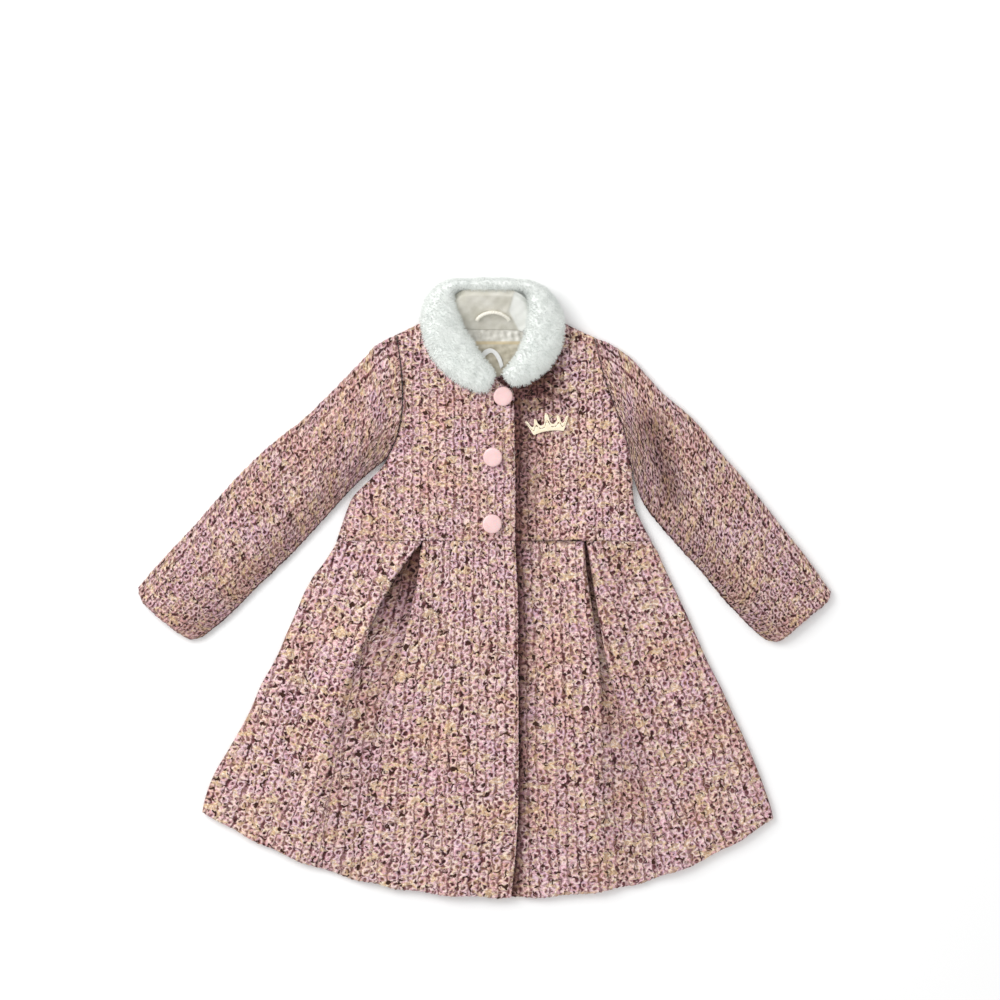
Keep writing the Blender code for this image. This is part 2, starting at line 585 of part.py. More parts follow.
# Hanger loop: a round cord sewn at both ends to the stand
path = bpy.data.curves.new("hanger_path", "CURVE")
path.dimensions = "3D"
path.bevel_depth = LOOP_RADIUS
path.bevel_resolution = 2
path.use_fill_caps = True
track = path.splines.new("POLY")
points = curve(LOOP_LINE, 15)
track.points.add(len(points) - 1)
for point, (x, y) in zip(track.points, points):
    wx, wy = at(x, y)
    point.co = (wx, wy - 0.0011, stand_height(y) + 0.0030, 1.0)
hanger = bpy.data.objects.new("hanger_path", path)
coat.objects.link(hanger)
bpy.context.view_layer.update()
mesh = bpy.data.meshes.new_from_object(hanger.evaluated_get(bpy.context.evaluated_depsgraph_get()))
bpy.data.objects.remove(hanger, do_unlink=True)
bm = bmesh.new()
bm.from_mesh(mesh)
bmesh.ops.remove_doubles(bm, verts=bm.verts[:], dist=1e-5)
put("hanger_loop", bm, satin)

# Lining seen inside the neck, slightly wrinkled
grid = net(LINING_LEFT, LINING_RIGHT, [(465, 332), (494, 333), (524, 334)], [(494, 376), (498, 377), (503, 374)],
           9, 9)
lifted("neck_lining", grid,
       lambda x, y: 0.0044 + 0.0004 * math.sin(x * 0.45) * math.sin(y * 0.3), LINING_WALL, beige)

# Bare label lying on the lining
bm = bmesh.new()
face = bm.faces.new([bm.verts.new((*at(x, y), 0.0058)) for x, y in LABEL])
raised = bmesh.ops.extrude_face_region(bm, geom=[face])
bmesh.ops.translate(bm, vec=(0, 0, 0.0006), verts=[v for v in raised["geom"] if isinstance(v, bmesh.types.BMVert)])
put("label", bm, white, False)

# Buttons: a low dome on a sewing shank, each turned from one profile
PROFILE = [
    (0.0, 0.0), (SHANK_RADIUS, 0.0), (SHANK_RADIUS, 0.0014), (BUTTON_RADIUS - 0.0022, 0.0014),
    (BUTTON_RADIUS - 0.0006, 0.0021), (BUTTON_RADIUS, 0.0032), (BUTTON_RADIUS - 0.0006, 0.0042),
    (BUTTON_RADIUS - 0.0024, 0.0048), (BUTTON_RADIUS * 0.45, 0.0051), (0.0, 0.0052),
]
for number, (x, y, tilt_x, tilt_y) in enumerate(BUTTONS, 1):
    bm = bmesh.new()
    line = [bm.verts.new((r, 0.0, z)) for r, z in PROFILE]
    edges = [bm.edges.new(pair) for pair in zip(line, line[1:])]
    bmesh.ops.spin(bm, geom=line + edges, cent=(0, 0, 0), axis=(0, 0, 1), angle=math.tau, steps=24,
                   use_merge=True)
    bmesh.ops.remove_doubles(bm, verts=bm.verts[:], dist=1e-5)
    made = put("button_%d" % number, bm, pink)
    wx, wy = at(x, y)
    raise_by = 0.0003 + 0.0003 * (1.0 if abs(tilt_x) > 3 else 0.0)
    made.rotation_euler = (math.radians(tilt_x), math.radians(tilt_y), 0.0)
    made.location = (wx, wy, LAYER_2 + WALL / 2 + raise_by)

# Pin: a small five-pointed tiara, a flat casting
bm = bmesh.new()
cx, cy = at(*PIN_CENTRE)
turn_c, turn_s = math.cos(PIN_TURN), math.sin(PIN_TURN)
halves = [(-a, b, -c, d) for a, b, c, d in reversed(PIN_ROWS[1:])] + PIN_ROWS
strips = []
for level in (PIN_LEVEL, PIN_LEVEL + PIN_THICK):
    strip = []
    for a, b, c, d in halves:
        pair = []
        for x, y in ((a / 1000, b / 1000), (c / 1000, d / 1000)):
            pair.append(bm.verts.new((cx + x * turn_c - y * turn_s, cy + x * turn_s + y * turn_c, level)))
        strip.append(pair)
    for left, right in zip(strip, strip[1:]):
        bm.faces.new((left[0], right[0], right[1], left[1]))
    strips.append(strip)
rim_low = [pair[0] for pair in strips[0]] + [pair[1] for pair in reversed(strips[0])]
rim_high = [pair[0] for pair in strips[1]] + [pair[1] for pair in reversed(strips[1])]
for i in range(len(rim_low)):
    n = (i + 1) % len(rim_low)
    bm.faces.new((rim_low[i], rim_low[n], rim_high[n], rim_high[i]))
put("tiara_pin", bm, gold, False)

bpy.context.view_layer.update()
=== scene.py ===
import math

import bmesh
import bpy
import numpy as np
from mathutils import Euler, Matrix, Vector


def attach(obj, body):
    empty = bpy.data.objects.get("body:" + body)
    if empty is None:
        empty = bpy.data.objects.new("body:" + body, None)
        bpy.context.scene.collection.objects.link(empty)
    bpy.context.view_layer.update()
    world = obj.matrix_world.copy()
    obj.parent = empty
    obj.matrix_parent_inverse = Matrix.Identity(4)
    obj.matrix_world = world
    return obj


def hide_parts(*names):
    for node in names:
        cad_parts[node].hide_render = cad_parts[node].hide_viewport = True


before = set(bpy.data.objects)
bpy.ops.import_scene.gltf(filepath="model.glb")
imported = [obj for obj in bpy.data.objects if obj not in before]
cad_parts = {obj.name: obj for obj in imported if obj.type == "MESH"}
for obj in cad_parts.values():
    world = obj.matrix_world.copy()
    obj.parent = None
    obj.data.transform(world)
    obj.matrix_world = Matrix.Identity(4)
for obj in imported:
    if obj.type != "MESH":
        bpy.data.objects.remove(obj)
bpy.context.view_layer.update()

scene = bpy.context.scene
print("frame loaded, %d nodes" % len(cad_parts))

# The coat is charted on squares of 1.1 mm, on the same chart as its solids
chart = {"square": 0.0011, "x": 484.0, "y": 588.5}
cloth = {
    "wall": 0.0032,        # tweed with its wadded lining
    "foldWall": 0.0021,
    "pleatReach": 0.026,
    "pitch": 0.0036,
    "ease": 0.0008,
    "seamGap": 0.0004,
    "backMid": 0.0016,
    "underMid": 0.0052,    # the layer that lies on the back
    "overMid": 0.0088,     # the layer that laps over it
    "seamMid": 0.0050,
    "panelMid": 0.0066,
    "sleeveMid": 0.0084,
    "lapRise": (434.0, 24.0),    # where the lap starts to rise, and over how many squares
    "lump": 0.0007,
    "threadFrom": 515.0,         # the threads are counted from the lap's edge
    "waist": 541.0,
    "hem": 897.0,
    "hemLowX": 510.0,
    "hemRise": (86.0, 79.0),
}

neckLeft, neckRight = (449, 307), (533, 306)
shoulderLeft, shoulderRight = (397, 335), (594, 338)
sideLeft = [(337, 541), (342, 525), (348, 508), (354, 496), (367, 483), (379, 471), (387, 460)]
armholeLeft = [(387, 460), (397, 438), (402, 415), (403, 390), (401, 363), (397, 335)]
sideRight = [(651, 541), (643, 526), (636, 511), (633, 497), (632, 480), (631, 465)]
armholeRight = [(631, 465), (624, 430), (612, 400), (602, 370), (594, 338)]
lapEdge = [(515, 541), (515.5, 500), (515, 450), (514, 410), (513, 392)]
neckOver = [(513, 392), (501, 384), (488, 372), (475, 357), (463, 338), (455, 325), (449, 307)]
lapHidden = [(466, 541), (467, 500), (468, 450), (470, 410), (472, 392)]
neckUnder = [(472, 392), (486, 388), (497, 380), (508, 369), (518, 356), (527, 342), (531, 325), (533, 306)]
neckBack = [(449, 307), (457, 318), (468, 326.5), (491, 329), (514, 329), (526, 320), (533, 306)]

# Soft creases: from, to (chart), half width in mm, height in mm
creasesBodice = [
    (412, 372, 418, 446, 8, -1.3), (440, 395, 446, 520, 16, 1.0), (418, 446, 400, 505, 10, -0.9),
    (378, 500, 366, 538, 12, 1.1), (424, 470, 404, 539, 11, 0.9),
    (424, 536, 421, 541, 15, 5.8),
    (596, 372, 612, 436, 8, -1.2), (560, 460, 572, 530, 14, 0.9), (628, 470, 598, 506, 8, -1.2),
    (612, 486, 588, 524, 10, 1.0), (545, 350, 560, 392, 14, -0.5), (640, 520, 618, 538, 12, 0.9),
    (584, 536, 587, 541, 15, 5.8),
]
creasesSkirt = [
    (626, 560, 634, 640, 11, -1.3), (634, 640, 668, 770, 14, -1.4), (690, 660, 726, 810, 18, 1.3),
    (560, 600, 566, 880, 22, 0.9), (532, 640, 536, 880, 10, -0.7),
    (300, 640, 262, 800, 18, 1.3), (262, 700, 238, 790, 12, -0.9), (450, 640, 446, 890, 26, 0.9),
    (484, 700, 480, 890, 16, -0.7), (352, 570, 334, 640, 12, 1.0), (410, 760, 402, 885, 12, 1.0),
]
creasesSleeve = [
    (384, 372, 372, 440, 9, 1.2), (360, 400, 330, 470, 11, -1.3), (330, 420, 296, 470, 10, 0.8),
    (300, 470, 262, 540, 11, -1.1), (262, 500, 226, 560, 12, 0.9), (240, 560, 190, 600, 10, -1.0),
    (610, 372, 628, 438, 9, 1.2), (636, 400, 662, 472, 11, -1.3), (668, 420, 700, 480, 10, 0.9),
    (694, 470, 726, 540, 12, -1.1), (728, 500, 762, 560, 12, 0.9), (752, 552, 792, 604, 10, -1.0),
]

buttons = {
    "places": [(503.0, 396.6, 0.0, 0.0), (493.0, 457.0, 7.0, -9.0), (492.0, 524.0, -2.0, 2.0)],
    "radius": 0.0106,
    "shank": 0.0024,
    "steps": 64,
}
pin = {"centre": (547.5, 424.5), "turn": 8.0, "level": 0.0090, "thick": 0.0018}


def smooth(value):
    value = np.clip(value, 0.0, 1.0)
    return value * value * (3.0 - 2.0 * value)


def toMetres(x, y):
    return (x - chart["x"]) * chart["square"], (chart["y"] - y) * chart["square"]


# Rows of numbers read between their own places, as a smooth line
def spline(rows, where):
    rows = np.asarray(rows, float)
    last = len(rows) - 1
    i = np.clip(np.floor(where).astype(int), 0, last - 1)
    t = (where - i)[..., None]
    a, b, c, d = rows[np.maximum(i - 1, 0)], rows[i], rows[i + 1], rows[np.minimum(i + 2, last)]
    return 0.5 * (2 * b + (c - a) * t + (2 * a - 5 * b + 4 * c - d) * t ** 2 + (3 * b - a - 3 * c + d) * t ** 3)


# The point at a share of a line's length
def along(rows, share):
    dense = spline(rows, np.linspace(0, len(rows) - 1, (len(rows) - 1) * 8 + 1))
    steps = np.hypot(np.diff(dense[:, 0]), np.diff(dense[:, 1]))
    reach = np.concatenate([[0.0], np.cumsum(steps)])
    return np.stack([np.interp(share * reach[-1], reach, column) for column in dense.T], -1)


# A net between four lines, read at any share across (u) and along (v)
def net(lines, u, v):
    left, right, start, end = lines
    l, r, s, e = along(left, v), along(right, v), along(start, u), along(end, u)
    u, v = u[:, None], v[:, None]
    corners = ((1 - u) * (1 - v) * along(start, np.zeros(1)) + u * (1 - v) * along(start, np.ones(1))
               + (1 - u) * v * along(end, np.zeros(1)) + u * v * along(end, np.ones(1)))
    return ((1 - u) * l + u * r + (1 - v) * s + v * e - corners).T


def distance(x, y, x0, y0, x1, y1):
    dx, dy = x1 - x0, y1 - y0
    t = np.clip(((x - x0) * dx + (y - y0) * dy) / max(1e-9, dx * dx + dy * dy), 0.0, 1.0)
    return np.hypot(x - x0 - t * dx, y - y0 - t * dy)


def crease(x, y, table):
    total = 0.0
    for x0, y0, x1, y1, half, height in table:
        away = distance(x, y, x0, y0, x1, y1) * chart["square"] * 1000 / half
        total = total + height * np.exp(-away * away)
    return total / 1000


def toLine(x, y, line):
    return np.min([distance(x, y, *p, *q) for p, q in zip(line, line[1:])], axis=0) * chart["square"]


# The share of full height where the cloth rolls down to its seams
def rolled(x, y, lines, reach):
    return np.min([smooth(toLine(x, y, line) / reach) for line in lines], axis=0)


# Slow unevenness of soft cloth, in metres, a few centimetres from crest to crest
def ripple(x, y, size):
    a = np.sin(x * 0.151 + 1.3 * np.sin(y * 0.043)) * np.sin(y * 0.117 + 1.1 * np.sin(x * 0.057))
    b = np.sin(x * 0.39 + y * 0.21 + 2.0 * np.sin(y * 0.09)) * np.sin(y * 0.33 - x * 0.17)
    return (a + 0.5 * b) * size


def linearColor(text):
    parts = [int(text[i:i + 2], 16) / 255 for i in (1, 3, 5)]
    return tuple(v / 12.92 if v <= 0.04045 else ((v + 0.055) / 1.055) ** 2.4 for v in parts) + (1.0,)


def addNode(tree, kind, inputs=None, **settings):
    made = tree.nodes.new(kind)
    for name, value in settings.items():
        if name == "stops":
            band = made.color_ramp.elements
            band[0].position, band[0].color = value[0][0], linearColor(value[0][1])
            band[1].position, band[1].color = value[-1][0], linearColor(value[-1][1])
            for place, text in value[1:-1]:
                band.new(place).color = linearColor(text)
        else:
            setattr(made, name, value)
    for name, value in (inputs or {}).items():
        if isinstance(value, bpy.types.NodeSocket):
            tree.links.new(value, made.inputs[name])
        else:
            made.inputs[name].default_value = value
    return made


# A new material: its shader gets the fixed numbers, and a function draws the rest
def newMaterial(name, numbers, draw):
    made = bpy.data.materials.new(name)
    made.use_nodes = True
    shader = made.node_tree.nodes["Principled BSDF"]
    for socket, value in numbers.items():
        shader.inputs[socket].default_value = value
    draw(made.node_tree, shader)
    return made


# A finish of two patterns: one picks the colour from a ramp, the other raises a fine grain
def patternFinish(tree, shader, tone, stops, grain, strength, depth):
    color = addNode(tree, "ShaderNodeValToRGB", {0: tone}, stops=stops)
    tree.links.new(color.outputs[0], shader.inputs["Base Color"])
    bump = addNode(tree, "ShaderNodeBump", {"Height": grain, "Strength": strength, "Distance": depth})
    tree.links.new(bump.outputs[0], shader.inputs["Normal"])


# A piece's finished mesh, of a bmesh that isn't needed any more
def meshFrom(bm, name):
    mesh = bpy.data.meshes.new(name)
    bm.to_mesh(mesh)
    bm.free()
    return mesh


def addPiece(name, mesh, materials, replaced):
    mesh.name = name
    mesh.materials.clear()
    for material in materials:
        mesh.materials.append(material)
    piece = bpy.data.objects.new(name, mesh)
    scene.collection.objects.link(piece)
    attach(piece, "root")
    if replaced:
        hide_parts(*replaced)
    return piece


# Evaluates a piece's modifiers once and keeps the result as its mesh
def freeze(piece):
    bpy.context.view_layer.update()
    done = bpy.data.meshes.new_from_object(piece.evaluated_get(bpy.context.evaluated_depsgraph_get()))
    piece.modifiers.clear()
    old, piece.data = piece.data, done
    done.name = piece.name
    bpy.data.meshes.remove(old)


tweed = {
    "ringPitch": (0.0102, 0.0088),   # metres between loops, across and along the yarn columns
    "chainShift": 0.5,
    "stray": 0.32,                   # how far loops stray from their rows
    "tall": 0.80,
    "wander": 0.30,
    "kink": 0.19,
    "ringRadius": 0.33,
    "yarnHalf": 0.155,
    "slubSize": 0.011,
    "speckSize": 0.0056,
    "relief": 0.0014,
    "ground": 0.0005,
    "yarns": [(0.0, "#B48590"), (0.16, "#EFC5CA"), (0.34, "#FDE9E5"), (0.5, "#EED6C0"), (0.62, "#E0AEB0"),
              (0.78, "#DCC0CF"), (0.9, "#F5DAD9"), (1.0, "#FFF4E0")],
    # the dark ground between the loops: partly the ground yarn's own colour, partly painted shade in the hollows
    "gaps": [(0.0, "#3A1A1C"), (0.3, "#6C3F40"), (0.5, "#82565C"), (0.7, "#78553A"), (1.0, "#957276")],
    "slubs": [(0.0, "#EFD9B4"), (0.35, "#FFF5E2"), (0.55, "#D9B88C"), (0.75, "#FBEFDC"), (1.0, "#FFFAF0")],
    "specks": "#40261B",
    # painted shade: the colour that seams, pleats, edges and the lap's shadow are darkened towards
    "shade": "#5E3331",
}


# Adds a table of nodes: name, kind, inputs, settings. A word among the inputs is an earlier node's output
def addTable(tree, table, known):
    def find(value):
        if not isinstance(value, str):
            return value
        name, _, output = value.partition(".")
        if isinstance(known[name], bpy.types.NodeSocket):
            return known[name]
        return known[name].outputs[int(output) if output.isdigit() else output or 0]

    for name, kind, inputs, settings in table:
        inputs = {socket: find(value) for socket, value in inputs.items()}
        known[name] = addNode(tree, "ShaderNode" + kind, inputs, **settings)
    return known


flat = {"noise_dimensions": "2D"}
soft = {"interpolation_type": "SMOOTHSTEP"}
times, plus, minus = {"operation": "MULTIPLY"}, {"operation": "ADD"}, {"operation": "SUBTRACT"}
higher, unsigned, timesPlus = {"operation": "MAXIMUM"}, {"operation": "ABSOLUTE"}, {"operation": "MULTIPLY_ADD"}
pitchX, pitchY = tweed["ringPitch"]
slubSize, speckSize = tweed["slubSize"], tweed["speckSize"]
# The loops of yarn, from the cloth's own thread coordinates, for a shader or a geometry tree
yarnTable = [
    ("grid", "VectorMath", {0: "weave", 1: (1 / pitchX, 1 / pitchY, 0.0)}, times),
    ("slow", "TexNoise", {"Vector": "grid", "Scale": 0.45, "Detail": 1.0}, flat),
    ("quick", "TexNoise", {"Vector": "grid", "Scale": 1.9, "Detail": 1.0}, flat),
    ("slowOff", "VectorMath", {0: "slow.Color", 1: (0.5,) * 3}, minus),
    ("slowPush", "VectorMath", {0: "slowOff", 1: (tweed["wander"] * 2,) * 3}, times),
    ("slowBent", "VectorMath", {0: "grid", 1: "slowPush"}, plus),
    ("quickOff", "VectorMath", {0: "quick.Color", 1: (0.5,) * 3}, minus),
    ("quickPush", "VectorMath", {0: "quickOff", 1: (tweed["kink"] * 2,) * 3}, times),
    ("bent", "VectorMath", {0: "slowBent", 1: "quickPush"}, plus),
    ("apart", "SeparateXYZ", {0: "bent"}, {}),
    ("lane", "Math", {0: "apart.X", 1: 0.42}, plus),
    ("column", "Math", {0: "lane"}, {"operation": "FLOOR"}),
    ("step", "Math", {0: "column", 1: tweed["chainShift"], 2: "apart.Y"}, timesPlus),
    ("chain", "CombineXYZ", {0: "apart.X", 1: "step"}, {}),
    ("cells", "TexVoronoi", {"Vector": "chain", "Scale": 1.0, "Randomness": tweed["stray"]},
     {"voronoi_dimensions": "2D"}),
    ("away", "VectorMath", {0: "chain", 1: "cells.Position"}, minus),
    ("oval", "VectorMath", {0: "away", 1: (1.0, tweed["tall"], 0.0)}, times),
    ("reach", "VectorMath", {0: "oval"}, {"operation": "LENGTH"}),
    ("swell", "Math", {0: "quick", 1: 0.34, 2: tweed["ringRadius"] - 0.17}, timesPlus),
    ("half", "Math", {0: "slow", 1: 0.06, 2: tweed["yarnHalf"] - 0.03}, timesPlus),
    ("rimOff", "Math", {0: "reach.Value", 1: "swell"}, minus),
    ("rim", "Math", {0: "rimOff"}, unsigned),
    ("share", "Math", {0: "rim", 1: "half"}, {"operation": "DIVIDE"}),
    ("loop", "MapRange", {"Value": "share", "From Min": 1.5, "From Max": 0.3}, soft),
    ("sideOff", "Math", {0: "apart.X", 1: "column"}, minus),
    ("sideMid", "Math", {0: "sideOff", 1: 0.08}, minus),
    ("side", "Math", {0: "sideMid"}, unsigned),
    ("furrow", "MapRange", {"Value": "side", "From Min": 0.36, "From Max": 0.48, "To Max": 0.85}, soft),
    ("ridge", "Math", {0: 1.0, 1: "furrow"}, minus),   # the furrow runs between two columns
    ("ring", "Math", {0: "loop", 1: "ridge"}, times),
    ("vein", "TexNoise", {"Vector": "grid", "Scale": 0.9, "Detail": 1.0, "Distortion": 0.2}, flat),
    ("veinOff", "Math", {0: "vein", 1: 0.5}, minus),
    ("veinLine", "Math", {0: "veinOff"}, unsigned),
    ("thread", "MapRange", {"Value": "veinLine", "From Min": 0.05, "From Max": 0.01}, soft),
    ("lumps", "VectorMath", {0: "weave", 1: (0.77 / slubSize, 1.33 / slubSize, 0.0)}, times),
    ("lump", "TexNoise", {"Vector": "lumps", "Scale": 1.0, "Detail": 2.0, "Distortion": 0.8}, flat),
    ("slub", "MapRange", {"Value": "lump", "From Min": 0.55, "From Max": 0.64}, soft),
    ("dots", "VectorMath", {0: "weave", 1: (1 / speckSize, 1 / speckSize, 0.0)}, times),
    ("fleck", "TexNoise", {"Vector": "dots", "Scale": 1.0, "Detail": 1.0, "Distortion": 0.5}, flat),
    ("speck", "MapRange", {"Value": "fleck", "From Min": 0.36, "From Max": 0.28}, soft),
    ("threadLow", "Math", {0: "thread", 1: 0.55}, times),
    ("slubLow", "Math", {0: "slub", 1: 0.6}, times),
    ("twist", "Math", {0: "ring", 1: "threadLow"}, higher),
    ("yarn", "Math", {0: "twist", 1: "slubLow"}, higher),
    ("top", "Math", {0: "yarn", 1: "slub"}, higher),
    ("clear", "Math", {0: 1.0, 1: "speck"}, minus),
    ("height", "Math", {0: "top", 1: "clear"}, times),
]
blend = {"data_type": "RGBA"}
darken = {"data_type": "RGBA", "blend_type": "MULTIPLY"}
# The colours of the yarn, on top of its loops, and last the painted shade
toneTable = [
    ("grain", "TexNoise", {"Vector": "grid", "Scale": 2.6, "Detail": 2.0}, flat),
    ("patch", "TexNoise", {"Vector": "grid", "Scale": 0.9, "Detail": 2.0}, flat),
    ("hairs", "TexNoise", {"Vector": "grid", "Scale": 14.0, "Detail": 2.0}, flat),
    ("cloud", "TexNoise", {"Vector": "grid", "Scale": 0.17, "Detail": 2.0}, flat),
    ("cell", "SeparateColor", {0: "cells.Color"}, {}),
    ("draw", "Math", {0: "grain", 1: 1.1, 2: "cell"}, timesPlus),
    ("pick", "Math", {0: "draw"}, {"operation": "FRACT"}),
    ("spread", "MapRange", {"Value": "patch", "From Min": 0.3, "From Max": 0.7}, {}),
    ("loops", "ValToRGB", {0: "pick"}, {"stops": tweed["yarns"]}),
    ("gaps", "ValToRGB", {0: "spread"}, {"stops": tweed["gaps"]}),
    ("slubs", "ValToRGB", {0: "grain"}, {"stops": tweed["slubs"]}),
    ("spun", "Mix", {0: "slub", 6: "loops", 7: "slubs"}, blend),
    ("woven", "Mix", {0: "yarn", 6: "gaps", 7: "spun.2"}, blend),
    ("specked", "Mix", {0: "speck", 6: "woven.2", 7: linearColor(tweed["specks"])}, blend),
    ("drift", "ValToRGB", {0: "cloud"}, {"stops": [(0.36, "#FCF0E8"), (0.5, "#FCF6F5"), (0.62, "#FCF3FA")]}),
    ("warmed", "Mix", {0: 1.0, 6: "specked.2", 7: "drift"}, darken),   # warm and cool, a few centimetres wide
    ("fibre", "MapRange", {"Value": "hairs", "From Min": 0.3, "From Max": 0.7, "To Min": 0.72, "To Max": 1.12}, {}),
    ("haired", "Mix", {0: 1.0, 6: "warmed.2", 7: "fibre"}, darken),
    ("shade", "Attribute", {}, {"attribute_name": "shade"}),   # painted shade: deep in seams and pleats, along edges, in the shadow of the lap and the collar, and on the sleeves' inner sides
    ("deep", "Mix", {0: 1.0, 6: "haired.2", 7: linearColor(tweed["shade"])}, darken),
    ("color", "Mix", {0: "shade.Fac", 6: "haired.2", 7: "deep.2"}, blend),
    ("bump", "Bump", {"Height": "height", "Strength": 0.5, "Distance": tweed["relief"]}, {}),
]


def drawTweed(tree, shader):
    weave = addNode(tree, "ShaderNodeAttribute", attribute_name="weave").outputs["Vector"]
    known = addTable(tree, yarnTable + toneTable, {"weave": weave})
    tree.links.new(known["color"].outputs[2], shader.inputs["Base Color"])
    tree.links.new(known["bump"].outputs[0], shader.inputs["Normal"])


# Boucle tweed, woven of looped wool yarn: open rings in pink, cream and lilac on a dark ground that is partly painted
# shade in the hollows, quite matte
tweedCloth = newMaterial("boucleTweedWoven", {"Roughness": 0.95, "Specular IOR Level": 0.2, "Sheen Weight": 0.15},
                         drawTweed)


def drawLining(tree, shader):
    place = addNode(tree, "ShaderNodeTexCoord").outputs["Object"]
    ribs = addNode(tree, "ShaderNodeTexWave", {"Vector": place, "Scale": 900.0, "Distortion": 0.6},
                   bands_direction="DIAGONAL").outputs["Fac"]
    soft = addNode(tree, "ShaderNodeTexNoise", {"Vector": place, "Scale": 45.0, "Detail": 3.0}).outputs["Fac"]
    patternFinish(tree, shader, soft, [(0.3, "#C9B99B"), (0.7, "#DDD0B8")], ribs, 0.2, 0.0002)


# Viscose lining, twill woven: a fine diagonal rib with a soft gloss
liningCloth = newMaterial("viscoseLiningTwill", {"Roughness": 0.45, "Sheen Weight": 0.2}, drawLining)

# Lifts the yarn loops out of a panel's ground, along its own normals
relief = bpy.data.node_groups.new("yarnRelief", "GeometryNodeTree")
relief.interface.new_socket("Geometry", in_out="INPUT", socket_type="NodeSocketGeometry")
relief.interface.new_socket("Geometry", in_out="OUTPUT", socket_type="NodeSocketGeometry")
cloths = addNode(relief, "NodeGroupInput")
weaveAt = addNode(relief, "GeometryNodeInputNamedAttribute", {"Name": "weave"}, data_type="FLOAT_VECTOR")
proud = addNode(relief, "GeometryNodeInputNamedAttribute", {"Name": "proud"}, data_type="FLOAT")
loops = addTable(relief, yarnTable, {"weave": weaveAt.outputs[0]})["height"].outputs[0]
lift = addNode(relief, "ShaderNodeMath", {0: loops, 1: tweed["relief"], 2: -tweed["ground"]},
               operation="MULTIPLY_ADD").outputs[0]
lift = addNode(relief, "ShaderNodeMath", {0: lift, 1: proud.outputs[0]}, operation="MULTIPLY").outputs[0]
outwards = addNode(relief, "GeometryNodeInputNormal").outputs[0]
push = addNode(relief, "ShaderNodeVectorMath", {0: outwards, "Scale": lift}, operation="SCALE")
moved = addNode(relief, "GeometryNodeSetPosition", {"Geometry": cloths.outputs[0], "Offset": push.outputs[0]})
relief.links.new(moved.outputs[0], addNode(relief, "NodeGroupOutput").inputs[0])


# A closed panel in its own coordinates: u and v from 0 to 1, level 0 outside, 1 at the rim, 2 inside.
# The outside is a fine grid, the inside a coarser one that shares the rim's points.
def panelMesh(name, columns, rows, step, place, faceUp=0):
    bm = bmesh.new()
    bmesh.ops.create_grid(bm, x_segments=columns, y_segments=rows, size=1.0)
    rim = [e for e in bm.edges if e.is_boundary]
    for level in (1, 2):
        made = bmesh.ops.extrude_edge_only(bm, edges=rim)["geom"]
        bmesh.ops.translate(bm, verts=[g for g in made if isinstance(g, bmesh.types.BMVert)], vec=(0, 0, 1.0))
        rim = [g for g in made if isinstance(g, bmesh.types.BMEdge) and g.is_boundary]
    for face in bm.faces:
        face.material_index = faceUp if face.normal.z * face.normal.z > 0.5 else 0
    inner = bmesh.ops.create_grid(bm, x_segments=columns // step, y_segments=rows // step, size=1.0,
                                  matrix=Matrix.Translation((0, 0, 2.0)))["verts"]
    faces = list({face for vert in inner for face in vert.link_faces})
    bmesh.ops.reverse_faces(bm, faces=faces)
    for face in faces:
        face.material_index = 1 - faceUp
    edges = list({edge for vert in inner for edge in vert.link_edges if edge.is_boundary})
    bmesh.ops.bisect_edges(bm, edges=edges, cuts=step - 1)
    bmesh.ops.remove_doubles(bm, verts=[v for v in bm.verts if v.co.z > 1.5 and v.is_boundary], dist=1e-4)
    bmesh.ops.triangulate(bm, faces=[f for f in bm.faces if len(f.verts) > 4])
    mesh = meshFrom(bm, name)
    flat = np.zeros(len(mesh.vertices) * 3)
    mesh.vertices.foreach_get("co", flat)
    u, v, level = flat.reshape(-1, 3).T
    u, v = np.clip((u + 1) / 2, 0, 1), np.clip((v + 1) / 2, 0, 1)
    points, weave, proud, shade = place(u, v, np.round(level))
    weave = weave + np.round(level)[:, None] * (0.0012, 0.0012, 0.0)   # the threads go on round the edge
    mesh.vertices.foreach_set("co", np.ascontiguousarray(points, dtype=np.float32).ravel())
    mesh.attributes.new("weave", "FLOAT_VECTOR", "POINT").data.foreach_set("vector", np.ravel(weave))
    mesh.attributes.new("proud", "FLOAT", "POINT").data.foreach_set("value", np.ravel(proud))
    mesh.attributes.new("shade", "FLOAT", "POINT").data.foreach_set("value", np.ravel(shade))
    mesh.polygons.foreach_set("use_smooth", np.ones(len(mesh.polygons), bool))
    return mesh


# Where a panel is calm: under buttons and the pin, which rest on it
def calmSpots(x, y):
    calm = np.ones_like(x)
    for bx, by, _, _ in buttons["places"]:
        calm = calm * smooth((np.hypot(x - bx, y - by) - 7.0) / 4.0)
    turn = math.radians(pin["turn"])
    px, py = x - pin["centre"][0], y - pin["centre"][1] + 2.0
    px, py = px * math.cos(turn) - py * math.sin(turn), px * math.sin(turn) + py * math.cos(turn)
    return calm * (0.25 + 0.75 * smooth((np.hypot(px / 24.0, py / 11.0) - 0.85) / 0.3))


# Along a panel's edges: how dark its painted shade line is, how deep the groove and how wide, in metres
edgeKinds = {
    "free": (0.0, 0.0008, 0.0030),
    "fold": (0.35, 0.0008, 0.0030),
    "side": (0.55, 0.0009, 0.0030),
    "waist": (0.20, 0.0003, 0.0026),
    "armhole": (0.66, 0.0006, 0.0036),
    "under": (0.85, 0.0009, 0.0030),
}


def edgeWork(x, y, away, kinds):
    drop, shade, proud = 0.0, 0.0, 1.0
    broken = 0.62 + 0.38 * np.sin(x * 0.61 + 2.1 * np.sin(y * 0.23)) * np.sin(y * 0.53 + 1.7 * np.sin(x * 0.19))
    for d, kind in zip(away, kinds):
        dark, deep, wide = edgeKinds[kind]
        drop = np.maximum(drop, deep * (1 - smooth(d / wide)))
        # painted shade along the edge, broken up so it is uneven
        shade = np.maximum(shade, dark * broken * np.exp(-(d / 0.0026) ** 2))
        proud = np.minimum(proud, 0.45 + 0.55 * smooth(d / 0.0030))
    return drop, shade, proud


